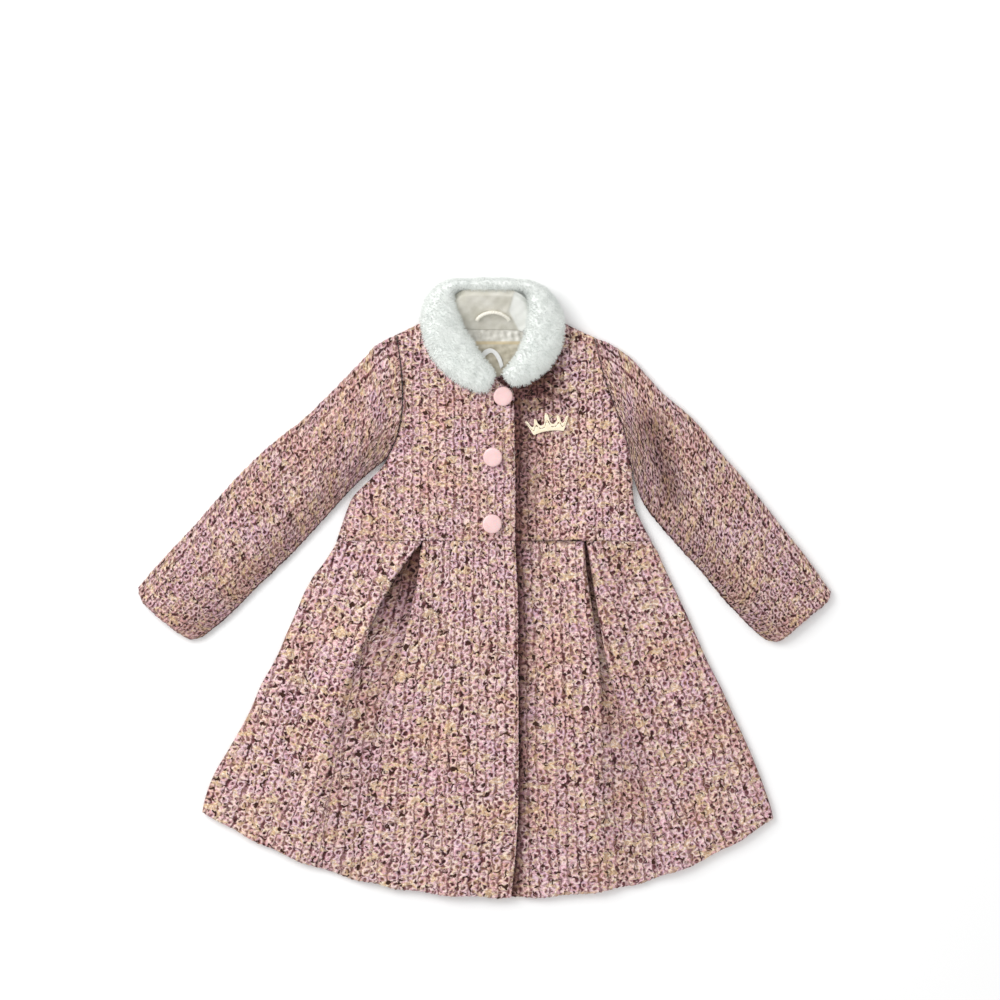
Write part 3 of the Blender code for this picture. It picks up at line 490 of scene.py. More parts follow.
# The edge of looped cloth is never a clean line: small lumps
def lumps(x, y):
    return cloth["lump"] * np.sin(x * 0.83 + 1.7 * np.sin(y * 0.31)) * np.sin(y * 0.77 + 1.3 * np.sin(x * 0.29))


# A panel laid from a net of lines
def laidPanel(piece):
    def place(u, v, level):
        x, y = net(piece["lines"], u, v)
        wide, long = piece["size"]
        away = (u * wide, (1 - u) * wide, v * long, (1 - v) * long)
        pull = np.full_like(x, cloth["ease"])
        lumpy = np.ones_like(x)
        for d, kind in zip(away, piece["edges"]):
            if kind in ("waist", "armhole"):   # sewn edges meet, the others are rounded over
                pull[d < 1e-5] = 0.00005
                lumpy[d < 1e-5] = 0.0
        pull = pull * (level != 1)
        edge = np.minimum(np.minimum(away[0], away[1]), np.minimum(away[2], away[3])) < 1e-5
        nearX, nearY = net(piece["lines"], np.clip(u, 0.004, 0.996), np.clip(v, 0.004, 0.996))
        size = np.maximum(np.hypot(nearX - x, nearY - y), 1e-9)
        shift = np.where(edge, pull / chart["square"], 0.0)
        shift = shift - np.where(edge & (level == 1), lumpy * lumps(x, y) / chart["square"], 0.0)
        x, y = x + (nearX - x) / size * shift, y + (nearY - y) / size * shift
        z = piece["height"](x, y)
        drop, shade, proud = edgeWork(x, y, away, piece["edges"])
        top = z + cloth["wall"] / 2 - drop * piece.get("groove", 1.0)
        low = z - cloth["wall"] / 2
        z = np.where(level == 0, top, np.where(level == 1, z, low))
        wx, wy = toMetres(x, y)
        gx, gy = piece["gap"]
        shade = np.clip(shade + piece["shade"](x, y), 0, 1)
        proud = np.where(level == 0, proud * calmSpots(x, y), 0.0)
        wu, wv = piece["thread"](x, y, u, v)
        weave = np.stack([wu * piece["fine"], wv * piece["fine"], np.zeros_like(wu)], -1)
        return np.stack([wx + gx, wy + gy, z], -1), weave, proud, shade

    return panelMesh(piece["name"], *piece["grid"], place, piece.get("faceUp", 0))


def overHeight(x, y):
    lap = cloth["overMid"] - cloth["panelMid"]
    start, wide = cloth["lapRise"]
    z = cloth["panelMid"] + lap * smooth((x - start) / wide)
    z = z + crease(x, y, creasesBodice) * smooth((496.0 - x) / 30.0)
    share = rolled(x, y, [sideLeft, [neckLeft, (423, 322), shoulderLeft]], 0.014)
    return cloth["seamMid"] + (np.maximum(z, cloth["seamMid"]) - cloth["seamMid"]) * share + ripple(x, y, 0.0002)


def underHeight(x, y):
    z = cloth["underMid"] + (cloth["panelMid"] - cloth["underMid"]) * smooth((x - 518.0) / 14.0)
    z = z + crease(x, y, creasesBodice) * smooth((x - 522.0) / 20.0)
    share = rolled(x, y, [sideRight, [neckRight, (563, 323), shoulderRight]], 0.014)
    return cloth["seamMid"] + (np.maximum(z, cloth["seamMid"]) - cloth["seamMid"]) * share


def sleeveHeight(table):
    def height(x, y):
        share = rolled(x, y, [table["outer"], table["inner"]], 0.034)
        z = cloth["sleeveMid"] + crease(x, y, creasesSleeve) * 0.8
        return cloth["seamMid"] + (z - cloth["seamMid"]) * share + ripple(x, y, 0.00025) * share
    return height


def flatHeight(x, y):
    return np.full_like(x, cloth["backMid"])


def noShade(x, y):
    return np.zeros_like(x)


# Painted shadow: the dark band that the right front's edge throws on the cloth below it, with a painted shadow under
# the collar and painted shade along the waist seam on the right
def lapShade(x, y):
    edge = np.interp(y, [385, 450, 541, 620, 800, 897], [514, 515, 515, 518, 518, 511])
    ragged = 6.0 * np.sin(y * 0.45 + 1.5 * np.sin(x * 0.2)) + 4.0 * np.sin(x * 0.62 - y * 0.3)
    collar = smooth((422.0 + ragged - y) / 30.0) * smooth((578.0 + ragged - x) / 36.0) * smooth((x - 505.0) / 8.0)
    wide = np.interp(y, [385, 520, 560, 897], [25.0, 20.0, 14.0, 11.0])
    wide = wide * (1 + 0.35 * np.sin(y * 0.61 + 1.9 * np.sin(y * 0.17)) * np.sin(x * 0.3 + y * 0.23))
    seamShade = 0.60 * np.exp(-((541.5 - y) / 2.0) ** 2) * smooth((x - 512) / 8) * smooth((592 - x) / 10)
    return np.maximum(np.maximum(0.90 * np.exp(-(np.maximum(x - edge, 0) / wide) ** 2), 0.9 * collar), seamShade)


# Painted shade: darker towards the sleeve's inner edge, and, by the given amount, a painted shadow beside the armhole
def sleeveShade(table, armholeShade):
    def shade(x, y):
        low = 0.08 + 0.30 * (1 - smooth(toLine(x, y, table["inner"]) / 0.050))
        return np.maximum(low, armholeShade * np.exp(-(distance(x, y, 650, 425, 670, 492) / 18.0) ** 2))
    return shade


def threadStraight(x, y, u, v):
    return (x - cloth["threadFrom"]) * chart["square"], (chart["y"] - y) * chart["square"]


def threadSleeve(x, y, u, v):
    return u * sleeveSize[0], v * sleeveSize[1]


sleeveSize = (0.112, 0.39)   # metres across and along
shoulderLines = {
    "left": [neckLeft, (423, 322), shoulderLeft],
    "right": [neckRight, (563, 323), shoulderRight],
}
bodiceRight = {   # the wearer's right front, which laps over
    "name": "bodiceFrontRight", "replaces": ["front_bodice_right"], "slot": "tweed_bodice",
    "lines": (lapEdge + neckOver[1:], sideLeft + armholeLeft[1:], [(515, 541), (337, 541)], shoulderLines["left"]),
    "size": (0.17, 0.25), "grid": (156, 208, 4), "height": overHeight,
    "edges": ("free", "armhole", "waist", "waist"), "gap": (0.0, 0.0002), "shade": noShade,
    "thread": threadStraight, "fine": 1.12, "cut": (0.196, 0.262), "area": 0.036,
    "restsOn": ["bodiceFrontLeft", "bodiceBack"],
}
bodiceLeft = {
    "name": "bodiceFrontLeft", "replaces": ["front_bodice_left"], "slot": "tweed_bodice",
    "lines": (lapHidden + neckUnder[1:], sideRight + armholeRight[1:], [(466, 541), (651, 541)],
              shoulderLines["right"]),
    "size": (0.17, 0.25), "grid": (156, 208, 4), "height": underHeight,
    "edges": ("free", "armhole", "waist", "waist"), "gap": (0.0, 0.0002), "shade": lapShade,
    "thread": threadStraight, "fine": 1.12, "cut": (0.204, 0.262), "area": 0.039,
    "restsOn": ["bodiceBack"],
}
sleeveCuts = {
    "right": {
        "root": [(396.7, 335), (400.6, 363), (402.6, 390), (401.6, 415), (396.6, 437.8), (386.6, 459.4)],
        "outer": [(396.7, 335), (377, 345), (364, 359), (334, 390), (304, 419), (270, 446), (235, 480),
                  (196, 524), (167, 555), (139, 587)],
        "inner": [(386.6, 459.4), (367, 475), (350, 491), (320, 524), (291, 555), (260, 585), (230, 615), (203, 637)],
        "cuff": [(139, 587), (142, 600), (156, 615), (175, 630), (190, 639), (203, 637)],
    },
    "left": {
        "root": [(594.4, 338), (602.4, 370), (612.4, 400), (624.4, 430), (631.4, 464.6)],
        "outer": [(594.4, 338), (611, 345), (632, 360), (659, 390), (693, 420), (718, 450), (744, 480),
                  (780, 525), (804, 555), (830, 592)],
        "inner": [(631.4, 464.6), (636, 487), (647, 510), (672, 540), (699, 570), (724, 600), (753, 630), (766, 640)],
        "cuff": [(830, 592), (827, 602), (811, 615), (794, 630), (779, 641), (766, 640)],
    },
}
panels = {piece["name"]: piece for piece in (bodiceRight, bodiceLeft)}
for side, gap in (("right", -0.0004), ("left", 0.0004)):
    table = sleeveCuts[side]
    lines = (table["outer"], table["inner"], table["root"], table["cuff"])
    shared = {"lines": lines, "size": sleeveSize, "edges": ("fold", "under", "armhole", "fold"), "gap": (gap, 0.0),
              "slot": "tweed_sleeve", "thread": threadSleeve, "fine": 1.16, "cut": (0.142, 0.41), "area": 0.037}
    name = side.capitalize()
    panels["sleeveTop" + name] = dict(
        shared, name="sleeveTop" + name, replaces=["sleeve_top_" + side], grid=(88, 304, 4),
        height=sleeveHeight(table), shade=sleeveShade(table, 0.62 if side == "left" else 0.0),
        restsOn=["sleeveUnder" + name])
    panels["sleeveUnder" + name] = dict(
        shared, name="sleeveUnder" + name, replaces=["sleeve_under_" + side], grid=(40, 136, 2), height=flatHeight,
        shade=noShade, faceUp=1, groove=0.0, restsOn=["floor"])
backTop = [shoulderLeft, (423, 322)] + neckBack + [(563, 323), shoulderRight]
panels["bodiceBack"] = {
    "name": "bodiceBack", "replaces": ["back_bodice"], "slot": "tweed_bodice",
    "lines": (sideLeft + armholeLeft[1:], sideRight + armholeRight[1:], [(337, 541), (651, 541)], backTop),
    "size": (0.27, 0.23), "grid": (112, 80, 2), "height": flatHeight,
    "edges": ("fold", "fold", "fold", "fold"), "gap": (0.0, 0.0002), "shade": noShade, "faceUp": 1, "groove": 0.0,
    "thread": threadStraight, "fine": 1.12, "cut": (0.346, 0.262), "area": 0.066, "restsOn": ["floor"],
}


def finishPanel(piece, mesh):
    made = addPiece(piece["name"], mesh, (tweedCloth, liningCloth), piece["replaces"])
    made.modifiers.new("yarnRelief", "NODES").node_group = relief
    freeze(made)
    piece["object"] = made


for piece in panels.values():
    finishPanel(piece, laidPanel(piece))
print("bodice and sleeves laid")

# Each skirt front is a lap, a middle panel, an inverted pleat and a side panel.
# Rows: down, side seam, edge of the middle panel, edge of the side panel, fold depth in mm,
# form (0 folded, 1 upright step, 2 slope), rise over the underlay in mm, edge of the lap
skirtRight = {
    "name": "skirtFrontRight", "replaces": ["front_skirt_right"], "slot": "tweed_skirt", "sign": -1.0,
    "lapMid": cloth["overMid"], "grid": (236, 300, 4), "fine": 1.0, "cut": (0.46, 0.40), "area": 0.12,
    "restsOn": ["skirtFrontLeft", "skirtBack"],
    "rows": [
        (0.000, 337.0, 424.0, 421.0, 7.5, 0.0, 7.2, 515.0), (0.035, 332.0, 421.5, 412.0, 7.5, 0.0, 7.2, 515.5),
        (0.080, 324.0, 420.0, 401.0, 7.5, 0.0, 7.2, 516.5), (0.130, 313.5, 417.0, 391.0, 7.5, 0.0, 7.2, 517.5),
        (0.190, 304.5, 413.0, 380.0, 6.0, 0.0, 7.2, 518.0), (0.260, 296.5, 408.0, 370.0, 4.0, 0.0, 7.2, 518.0),
        (0.340, 287.0, 402.0, 361.0, 1.8, 1.0, 7.2, 518.0), (0.430, 276.5, 394.0, 351.0, 1.8, 1.5, 5.8, 518.5),
        (0.530, 261.5, 386.0, 343.0, 1.8, 2.0, 4.6, 518.5), (0.640, 248.5, 379.0, 335.0, 1.8, 2.0, 3.8, 518.5),
        (0.760, 230.5, 372.0, 327.0, 1.8, 2.0, 3.2, 518.0), (0.880, 212.0, 366.0, 320.0, 1.8, 2.0, 2.8, 515.5),
        (1.000, 202.5, 361.0, 314.0, 1.8, 2.0, 2.6, 511.5),
    ],
}
skirtLeft = {
    "name": "skirtFrontLeft", "replaces": ["front_skirt_left"], "slot": "tweed_skirt", "sign": 1.0,
    "lapMid": cloth["underMid"], "grid": (236, 300, 4), "fine": 1.0, "cut": (0.46, 0.40), "area": 0.12,
    "restsOn": ["skirtBack"],
    "rows": [
        (0.000, 651.0, 583.5, 586.5, 7.5, 0.0, 7.2, 466.0), (0.035, 657.0, 584.5, 589.0, 7.5, 0.0, 7.2, 466.0),
        (0.080, 662.5, 585.5, 591.5, 7.5, 0.0, 7.2, 466.0), (0.130, 669.0, 588.0, 594.0, 7.0, 0.0, 7.2, 466.0),
        (0.190, 677.0, 591.0, 597.5, 6.0, 0.0, 7.2, 466.0), (0.260, 686.0, 594.5, 601.5, 5.0, 0.0, 7.2, 466.0),
        (0.340, 696.0, 598.0, 606.5, 3.5, 0.0, 7.2, 466.0), (0.430, 707.0, 601.0, 614.0, 1.8, 1.0, 6.6, 466.0),
        (0.530, 721.0, 604.0, 627.0, 1.8, 1.5, 5.2, 466.0), (0.640, 735.0, 606.0, 640.0, 1.8, 2.0, 4.2, 466.0),
        (0.760, 750.0, 609.0, 648.0, 1.8, 2.0, 3.4, 466.0), (0.880, 763.0, 613.0, 655.0, 1.8, 2.0, 3.0, 466.0),
        (1.000, 773.0, 618.0, 661.0, 1.8, 2.0, 2.6, 466.0),
    ],
}


def hemLine(x, down, side):
    share = np.minimum(1.15, np.abs(x - cloth["hemLowX"]) / np.abs(side - cloth["hemLowX"]))
    left = x < cloth["hemLowX"]
    rise = np.where(left, cloth["hemRise"][0], cloth["hemRise"][1])
    fall = cloth["waist"] + (cloth["hem"] - cloth["waist"]) * down
    return fall - rise * down * share ** np.where(left, 2.25, 2.4)


# The hem's slow wave, and a front's side seam, both on the chart
def hemWave(x, v):
    return 0.9 * smooth((v - 0.8) / 0.2) * np.sin(x * 0.13 + 0.6 * np.sin(x * 0.05))


def sideSeam(cut, v):
    rows = np.array(cut["rows"])
    return spline(rows[:, 1:2], np.interp(v, rows[:, 0], np.arange(len(rows))))[:, 0]


# One fold from its panel down to the underlay: how far under the panel, how far down
def foldPoints(depth, form, rise):
    r = cloth["pitch"] / 2
    one = np.ones_like(depth)
    folded = [(r * one, 0), (0.29 * r * one, -0.29), (0 * one, -1), (0.29 * r * one, -1.71), (r * one, -2),
              ((r + depth) / 2 + 0.0001, -2), (depth + 0.0002, -2), (depth + 0.71 * r, -2.29), (depth + r, -3),
              (depth + 0.71 * r, -3.71), (depth, -4)]
    upright = [(1, 0), (0.29, -0.29), (0, -0.8), (0, -1.3), (0, -1.6), (0, -1.9), (0, -2.2), (0, -2.6), (0, -3.1),
               (-0.35, -3.71), (-1.1, -4)]
    over, drop = [], []
    for k, ((a, b), (c, d)) in enumerate(zip(folded, upright)):
        slopeOver, slopeDrop = 0.010 * (1 - 0.2 * k), -4 * float(smooth(k / 10))
        first, second = np.clip(form, 0, 1), np.clip(form - 1, 0, 1)
        out = a + (c * r - a) * first
        down = b + (d - b) * first
        over.append(out + (slopeOver - out) * second)
        drop.append((down + (slopeDrop - down) * second) * rise / 4)
    return np.concatenate(over, 1), np.concatenate(drop, 1)


# The middle line of a front's cross-section at every row, and the two faces each side of it
def skirtSections(cut, v):
    index = np.interp(v, [row[0] for row in cut["rows"]], np.arange(len(cut["rows"])))
    values = spline(np.array(cut["rows"])[:, 1:], index)
    side, middle, outer, depth, form, rise, edge = [column[:, None] for column in values.T]
    depth, form, rise = np.clip(depth, 1.8, 7.5) / 1000, np.clip(form, 0, 2), rise / 1000
    down, sign, square = v[:, None], cut["sign"], chart["square"]
    foldMid = cloth["underMid"] + rise

    def height(x):
        z = cloth["panelMid"] + crease(x, hemLine(x, down, side), creasesSkirt)
        start, wide = cloth["lapRise"]
        lap = smooth((x - start) / wide) if sign < 0 else 1.0 - smooth((x - 521.0) / 16.0)
        z = z + (cut["lapMid"] - z) * lap
        near = np.minimum(np.abs(x - middle), np.abs(x - outer)) * square
        return z + (foldMid - z) * np.exp(-(near / cloth["pleatReach"]) ** 2) * (1.0 - lap)

    over, drop = foldPoints(depth, form, rise)
    reach = over[:, :1] / square
    first = middle - sign * (reach + 1.5)
    x = edge + (first - edge) * np.arange(8) / 7
    xs, zs = [x], [height(x)]
    floor = cloth["underMid"]
    start, under = height(middle - sign * reach), height(outer + sign * reach)
    xs.append(middle - sign * over / square)
    zs.append(start + (floor - start) * -drop / rise)
    left, right = middle - sign * over[:, -1:] / square, outer + sign * over[:, -1:] / square
    xs.append(left + (right - left) * np.array([[0.3, 0.7]]))
    zs.append(np.full_like(xs[-1], floor))
    xs.append(outer + sign * over[:, ::-1] / square)
    zs.append(under + (floor - under) * -drop[:, ::-1] / rise)
    first = outer + sign * (reach + 1.5)
    x = first + (side - first) * (np.arange(7) / 6) ** 0.85
    share = smooth(np.abs(x - side) * square / 0.016)
    xs.append(x)
    zs.append(cloth["seamMid"] + (np.maximum(height(x), cloth["seamMid"]) - cloth["seamMid"]) * share)
    line = np.stack([np.concatenate(xs, 1) * square, np.concatenate(zs, 1)], -1)
    walls = np.array([cloth["wall"]] * 8 + [cloth["foldWall"]] * 24 + [cloth["wall"]] * 7)
    parts = np.diff(line, axis=1)
    parts = parts / np.maximum(np.hypot(parts[..., 0], parts[..., 1])[..., None], 1e-9)
    ways = np.stack([parts[..., 1], -parts[..., 0]], -1) * -sign
    ways = np.concatenate([ways[:, :1], (ways[:, 1:] + ways[:, :-1]) / 2, ways[:, -1:]], 1)
    size = np.hypot(ways[..., 0], ways[..., 1])
    reach = walls / 2 / np.maximum(size, 0.85) / size
    # Threads: half fanned in the middle panel, plain through the pleat, fanned in the side panel
    steps = np.hypot(*np.moveaxis(np.diff(line, axis=1), -1, 0))
    wide = np.abs(middle - edge) * square
    half = float(np.interp(0.5, v, wide[:, 0]))
    across = np.abs(line[:, :8, 0] - edge * square) * (0.5 + 0.5 * half / wide)
    pleat = across[:, -1:] + np.cumsum(steps[:, 7:31], 1)
    sideWide = np.abs(side - outer) * square
    fan = pleat[:, -1:] + steps[:, 31:32] + np.abs(line[:, 32:, 0] - line[:, 32:33, 0]) / sideWide * float(
        np.interp(0.5, v, sideWide[:, 0]))
    return {"line": line, "push": ways * reach[..., None], "side": side[:, 0],
            "thread": np.concatenate([across, pleat, fan], 1), "long": steps.sum(1)}


def skirtPanel(piece):
    columns, rows, _ = piece["grid"]
    cut = skirtSections(piece, np.linspace(0, 1, rows + 1))
    steps = np.hypot(*np.moveaxis(np.diff(cut["line"][int(rows * 0.75)], axis=0), -1, 0))
    steps[7:31] += 0.0006
    reach = np.concatenate([[0.0], np.cumsum(steps)]) / steps.sum()

    def place(u, v, level):
        wide = cut["long"].mean()
        row = np.round(v * rows).astype(int)
        inset = cloth["ease"] / wide
        s = np.interp(np.where(level == 1, u, np.clip(u, inset, 1 - inset)), reach, np.arange(39.0))
        i = np.clip(np.floor(s).astype(int), 0, 37)
        t = (s - i)[:, None]

        def read(table):
            a, b, c, d = [table[row, np.clip(i + k, 0, 38)] for k in (-1, 0, 1, 2)]
            return 0.5 * (2 * b + (c - a) * t + (2 * a - 5 * b + 4 * c - d) * t ** 2
                          + (3 * b - a - 3 * c + d) * t ** 3)

        middle, push = read(cut["line"]), read(cut["push"])
        turn = np.where(level == 0, 1.0, np.where(level == 1, 0.0, -1.0))[:, None]
        away = (u * wide, (1 - u) * wide, v * 0.39, (1 - v) * 0.39)
        spotX = middle[:, 0] / chart["square"]
        drop, shade, proud = edgeWork(spotX, hemLine(spotX, v, cut["side"][row]), away,
                                      ("free", "side", "waist", "free"))
        size = np.hypot(push[:, 0], push[:, 1])
        turn = turn - np.where(level == 0, drop / size, 0.0)[:, None]
        spot = middle + push * turn
        x = spot[:, 0] / chart["square"]
        inside = np.clip(v, 0.0001, 1 - cloth["ease"] / 0.39)
        y = hemLine(x, np.where(level == 1, v, inside), cut["side"][row])
        y = y + hemWave(x, v)
        y = y + np.where((level == 1) & (v > 0.999), lumps(x * 1.3, y) / chart["square"], 0.0)
        x = x + np.where((level == 1) & (u < 0.001), lumps(x, y * 1.3) / chart["square"], 0.0)
        wx, wy = toMetres(x, y)
        z = spot[:, 1] + ripple(x, y, 0.0002) * smooth(away[1] / 0.03) * (level == 0)
        thread = cut["thread"][row, i] * (1 - t[:, 0]) + cut["thread"][row, i + 1] * t[:, 0]
        turn = math.radians(19.0) * piece["sign"]
        onSide = s > 24.0
        wx2, wy2 = wx * math.cos(turn) + wy * math.sin(turn), wy * math.cos(turn) - wx * math.sin(turn)
        weave = np.stack([np.where(onSide, wx2, thread * piece["sign"]),
                          np.where(onSide, wy2, (chart["y"] - y) * chart["square"]), np.zeros_like(z)], -1)
        # Painted shade deep in the pleat, strongest near the waist
        inPleat = smooth((s - 7.5) / 3.0) * smooth((31.5 - s) / 3.0)
        deep = np.interp(v, [0, 0.12, 0.3, 1.0], [0.92, 0.80, 0.26, 0.05])
        shade = np.maximum(shade, inPleat * deep)
        # the left front also gets the painted shadow of the lap's edge
        if piece["sign"] > 0:
            shade = np.maximum(shade, lapShade(x, y))
        proud = np.where(level == 0, proud * (1 - 0.6 * inPleat * (v < 0.35)), 0.0)
        return np.stack([wx, wy - cloth["seamGap"] / 2, z], -1), weave, proud * calmSpots(x, y), np.clip(shade, 0, 1)

    return panelMesh(piece["name"], *piece["grid"], place)


for piece in (skirtLeft, skirtRight):
    finishPanel(piece, skirtPanel(piece))
    panels[piece["name"]] = piece


def backSkirtPlace(u, v, level):
    left, right = sideSeam(skirtRight, v), sideSeam(skirtLeft, v)
    inset = np.where(level == 1, 0.0, 0.0025)
    x = left + (right - left) * np.clip(u, inset, 1 - inset)
    y = hemLine(x, np.clip(v, inset, 1 - inset), np.where(x < cloth["hemLowX"], left, right))
    y = y + hemWave(x, v)
    wx, wy = toMetres(x, y)
    z = cloth["backMid"] + np.where(level == 0, 0.5, np.where(level == 1, 0.0, -0.5)) * cloth["wall"]
    weave = np.stack([wx, wy, np.zeros_like(wx)], -1)
    return np.stack([wx, wy - cloth["seamGap"] / 2, z], -1), weave, np.zeros_like(wx), np.zeros_like(wx)


skirtBack = {"name": "skirtBack", "replaces": ["back_skirt"], "slot": "tweed_skirt", "cut": (0.63, 0.40),
             "area": 0.19, "restsOn": ["floor"], "grid": (160, 104, 2)}
finishPanel(skirtBack, panelMesh("skirtBack", *skirtBack["grid"], backSkirtPlace, 1))
panels["skirtBack"] = skirtBack
print("skirt laid and pleated")

collar = {
    # inner edge x y, outer edge x y, base inside and outside, crest (mm), how far it stands, reach inwards
    "stations": [
        (497.0, 374.0, 490.5, 390.5, 10.9, 10.9, 17.0, 0.0, 0.0),
        (494.5, 371.0, 485.0, 393.0, 10.9, 10.9, 23.0, 0.0, 0.0),
        (490.0, 364.5, 473.0, 391.5, 10.9, 10.9, 27.0, 0.0, 0.0),
        (481.0, 354.0, 456.0, 382.5, 10.9, 10.9, 29.0, 0.0, 0.0),
        (470.5, 337.0, 438.0, 367.0, 10.9, 10.9, 30.0, 0.0, 0.0),
        (463.0, 325.5, 426.5, 347.0, 10.2, 10.2, 31.0, 0.0, 0.0),
        (459.5, 315.0, 421.0, 326.0, 9.4, 9.2, 32.0, 0.0, 0.0),
        (456.5, 303.0, 422.5, 308.0, 9.4, 3.0, 33.0, 0.0, 1.0),
        (453.5, 294.5, 431.0, 291.5, 4.0, 0.0, 33.0, 0.4, 2.0),
        (459.0, 289.0, 447.0, 281.4, 0.0, 0.0, 33.5, 0.85, 6.0),
        (472.0, 289.0, 470.0, 279.6, 0.0, 0.0, 34.0, 1.0, 20.0),
        (490.0, 289.0, 490.0, 279.2, 0.0, 0.0, 34.0, 1.0, 26.0),
        (508.0, 289.0, 510.0, 279.7, 0.0, 0.0, 34.0, 1.0, 20.0),
        (520.0, 289.5, 534.0, 283.2, 0.0, 0.0, 33.5, 0.85, 6.0),
        (526.0, 294.5, 550.0, 293.0, 4.0, 0.0, 33.0, 0.4, 2.0),
        (527.5, 304.0, 561.0, 310.0, 9.4, 3.0, 33.0, 0.0, 1.0),
        (527.0, 318.0, 564.5, 330.0, 9.4, 9.4, 32.0, 0.0, 0.0),
        (524.5, 334.0, 560.0, 351.0, 9.4, 9.4, 31.0, 0.0, 0.0),
        (518.5, 350.0, 547.0, 371.0, 9.8, 9.4, 30.0, 0.0, 0.0),
        (510.5, 362.0, 529.0, 383.0, 10.9, 10.2, 28.0, 0.0, 0.0),
        (504.0, 370.0, 518.0, 387.5, 10.9, 10.9, 24.0, 0.0, 0.0),
        (500.5, 375.5, 512.5, 387.0, 10.9, 10.9, 17.5, 0.0, 0.0),
    ],
    "lying": [(0.05, 0.05), (0.0, 0.30), (0.03, 0.60), (0.12, 0.85), (0.28, 0.98), (0.48, 1.0),
              (0.68, 0.93), (0.86, 0.74), (0.98, 0.46), (1.0, 0.20), (0.93, 0.02), (0.5, 0.0)],
    "standing": [(-1.0, 0.08), (-0.72, 0.28), (-0.40, 0.55), (-0.1, 0.83), (0.2, 0.97), (0.5, 1.0),
                 (0.8, 0.95), (0.97, 0.80), (1.0, 0.55), (0.95, 0.30), (0.8, 0.03), (-0.5, 0.0)],
    "pileLong": 0.0041,
    "pileSunk": 0.0016,
    "pilesPerSquareMetre": 500000.0,
}


# A tube from a grid whose last column meets its first, with each end row drawn to one point
def tubeMesh(name, around, rows, place):
    bm = bmesh.new()
    bmesh.ops.create_grid(bm, x_segments=around, y_segments=rows, size=1.0)
    spots = np.array([v.co[:2] for v in bm.verts])
    points = place((spots[:, 0] + 1) / 2, (spots[:, 1] + 1) / 2)
    for vert, point in zip(bm.verts, points):
        vert.co = point
    bmesh.ops.remove_doubles(bm, verts=bm.verts[:], dist=1e-6)
    bmesh.ops.recalc_face_normals(bm, faces=bm.faces[:])
    for face in bm.faces:
        face.smooth = True
    return meshFrom(bm, name)


def collarPlace(u, v):
    station = along(collar["stations"], np.clip(v, 0.0, 1.0))
    ix, iy, ox, oy, baseIn, baseOut, crest, standing, reach = station.T
    standing = np.clip(standing, 0, 1)
    wide = np.hypot(ox - ix, oy - iy)

    def section(table, share):
        closed = table[-1:] + table + table[:2]
        return spline(closed, 1 + share * 12).T

    lying, upright = section(collar["lying"], u), section(collar["standing"], u)
    out = lying[0] * wide * (1 - standing)
    out = out + upright[0] * np.where(upright[0] > 0, wide, reach) * standing
    up = lying[1] + (upright[1] - lying[1]) * standing
    base = np.maximum(0, baseIn + (baseOut - baseIn) * np.clip(out / wide, 0, 1))
    x, y = ix + (ox - ix) * out / wide, iy + (oy - iy) * out / wide
    z = (base + (crest - base) * up) / 1000
    wx, wy = toMetres(x, y)
    points = np.stack([wx, wy, z], -1)
    for end in (0.0, 1.0):   # the end rows close in their own middle
        row = np.abs(v - end) < 1e-6
        points[row] = points[row].mean(0)
    return points


collarMesh = tubeMesh("collarRoll", 60, 200, collarPlace)
bm = bmesh.new()
bm.from_mesh(collarMesh)
bm.normal_update()
for vert in bm.verts:
    x, y, z = vert.co * 1000
    soft = math.sin(x * 0.24 + 1.4 * math.sin(y * 0.11)) * math.sin(y * 0.21 + z * 0.13)
    soft += 0.5 * math.sin(x * 0.55 + y * 0.31) * math.sin(y * 0.47 - z * 0.3)
    vert.co -= vert.normal * (collar["pileSunk"] - 0.0006 * soft)
for vert in bm.verts:   # it rests on the cloth and the surface
    vert.co.z = max(vert.co.z, 0.0)
bm.to_mesh(collarMesh)
bm.free()


def drawPlush(tree, shader):
    place = addNode(tree, "ShaderNodeTexCoord").outputs["Object"]
    patch = addNode(tree, "ShaderNodeTexNoise", {"Vector": place, "Scale": 70.0, "Detail": 3.0}).outputs["Fac"]
    fine = addNode(tree, "ShaderNodeTexNoise", {"Vector": place, "Scale": 900.0, "Detail": 2.0}).outputs["Fac"]
    patternFinish(tree, shader, patch, [(0.3, "#D8DCD9"), (0.5, "#DEE1DE"), (0.7, "#E3E6E3")], fine, 0.3, 0.0005)


# Acrylic plush, knitted with a cut pile: short white hairs that catch the light softly, never glossy
plush = newMaterial("acrylicPlushPile", {
    "Roughness": 0.9, "Specular IOR Level": 0.15, "Sheen Weight": 0.3, "Sheen Roughness": 0.5,
    "Emission Color": linearColor("#F4F8F4"), "Emission Strength": 0.13,   # painted light: a faint glow in place of the light that the hairs pass on to each other
}, drawPlush)
collarRoll = addPiece("collarRoll", collarMesh, (plush,), ["collar"])

# One small lock of pile: a three-sided spike bent over at its tip
bm = bmesh.new()
bmesh.ops.create_cone(bm, cap_ends=False, segments=3, radius1=0.00050, radius2=0.00009, depth=1.0)
bmesh.ops.subdivide_edges(bm, edges=[e for e in bm.edges if abs(e.verts[0].co.z - e.verts[1].co.z) > 0.5], cuts=1)
for vert in bm.verts:
    h = vert.co.z + 0.5
    vert.co = Vector((vert.co.x + 0.0011 * h * h, vert.co.y, h * collar["pileLong"] - 0.0006))
lockMesh = meshFrom(bm, "pileLock")
lockMesh.polygons.foreach_set("use_smooth", np.ones(len(lockMesh.polygons), bool))
lock = bpy.data.objects.new("pileLock", lockMesh)
pileTree = bpy.data.node_groups.new("plushPile", "GeometryNodeTree")
pileTree.interface.new_socket("Geometry", in_out="INPUT", socket_type="NodeSocketGeometry")
pileTree.interface.new_socket("Geometry", in_out="OUTPUT", socket_type="NodeSocketGeometry")
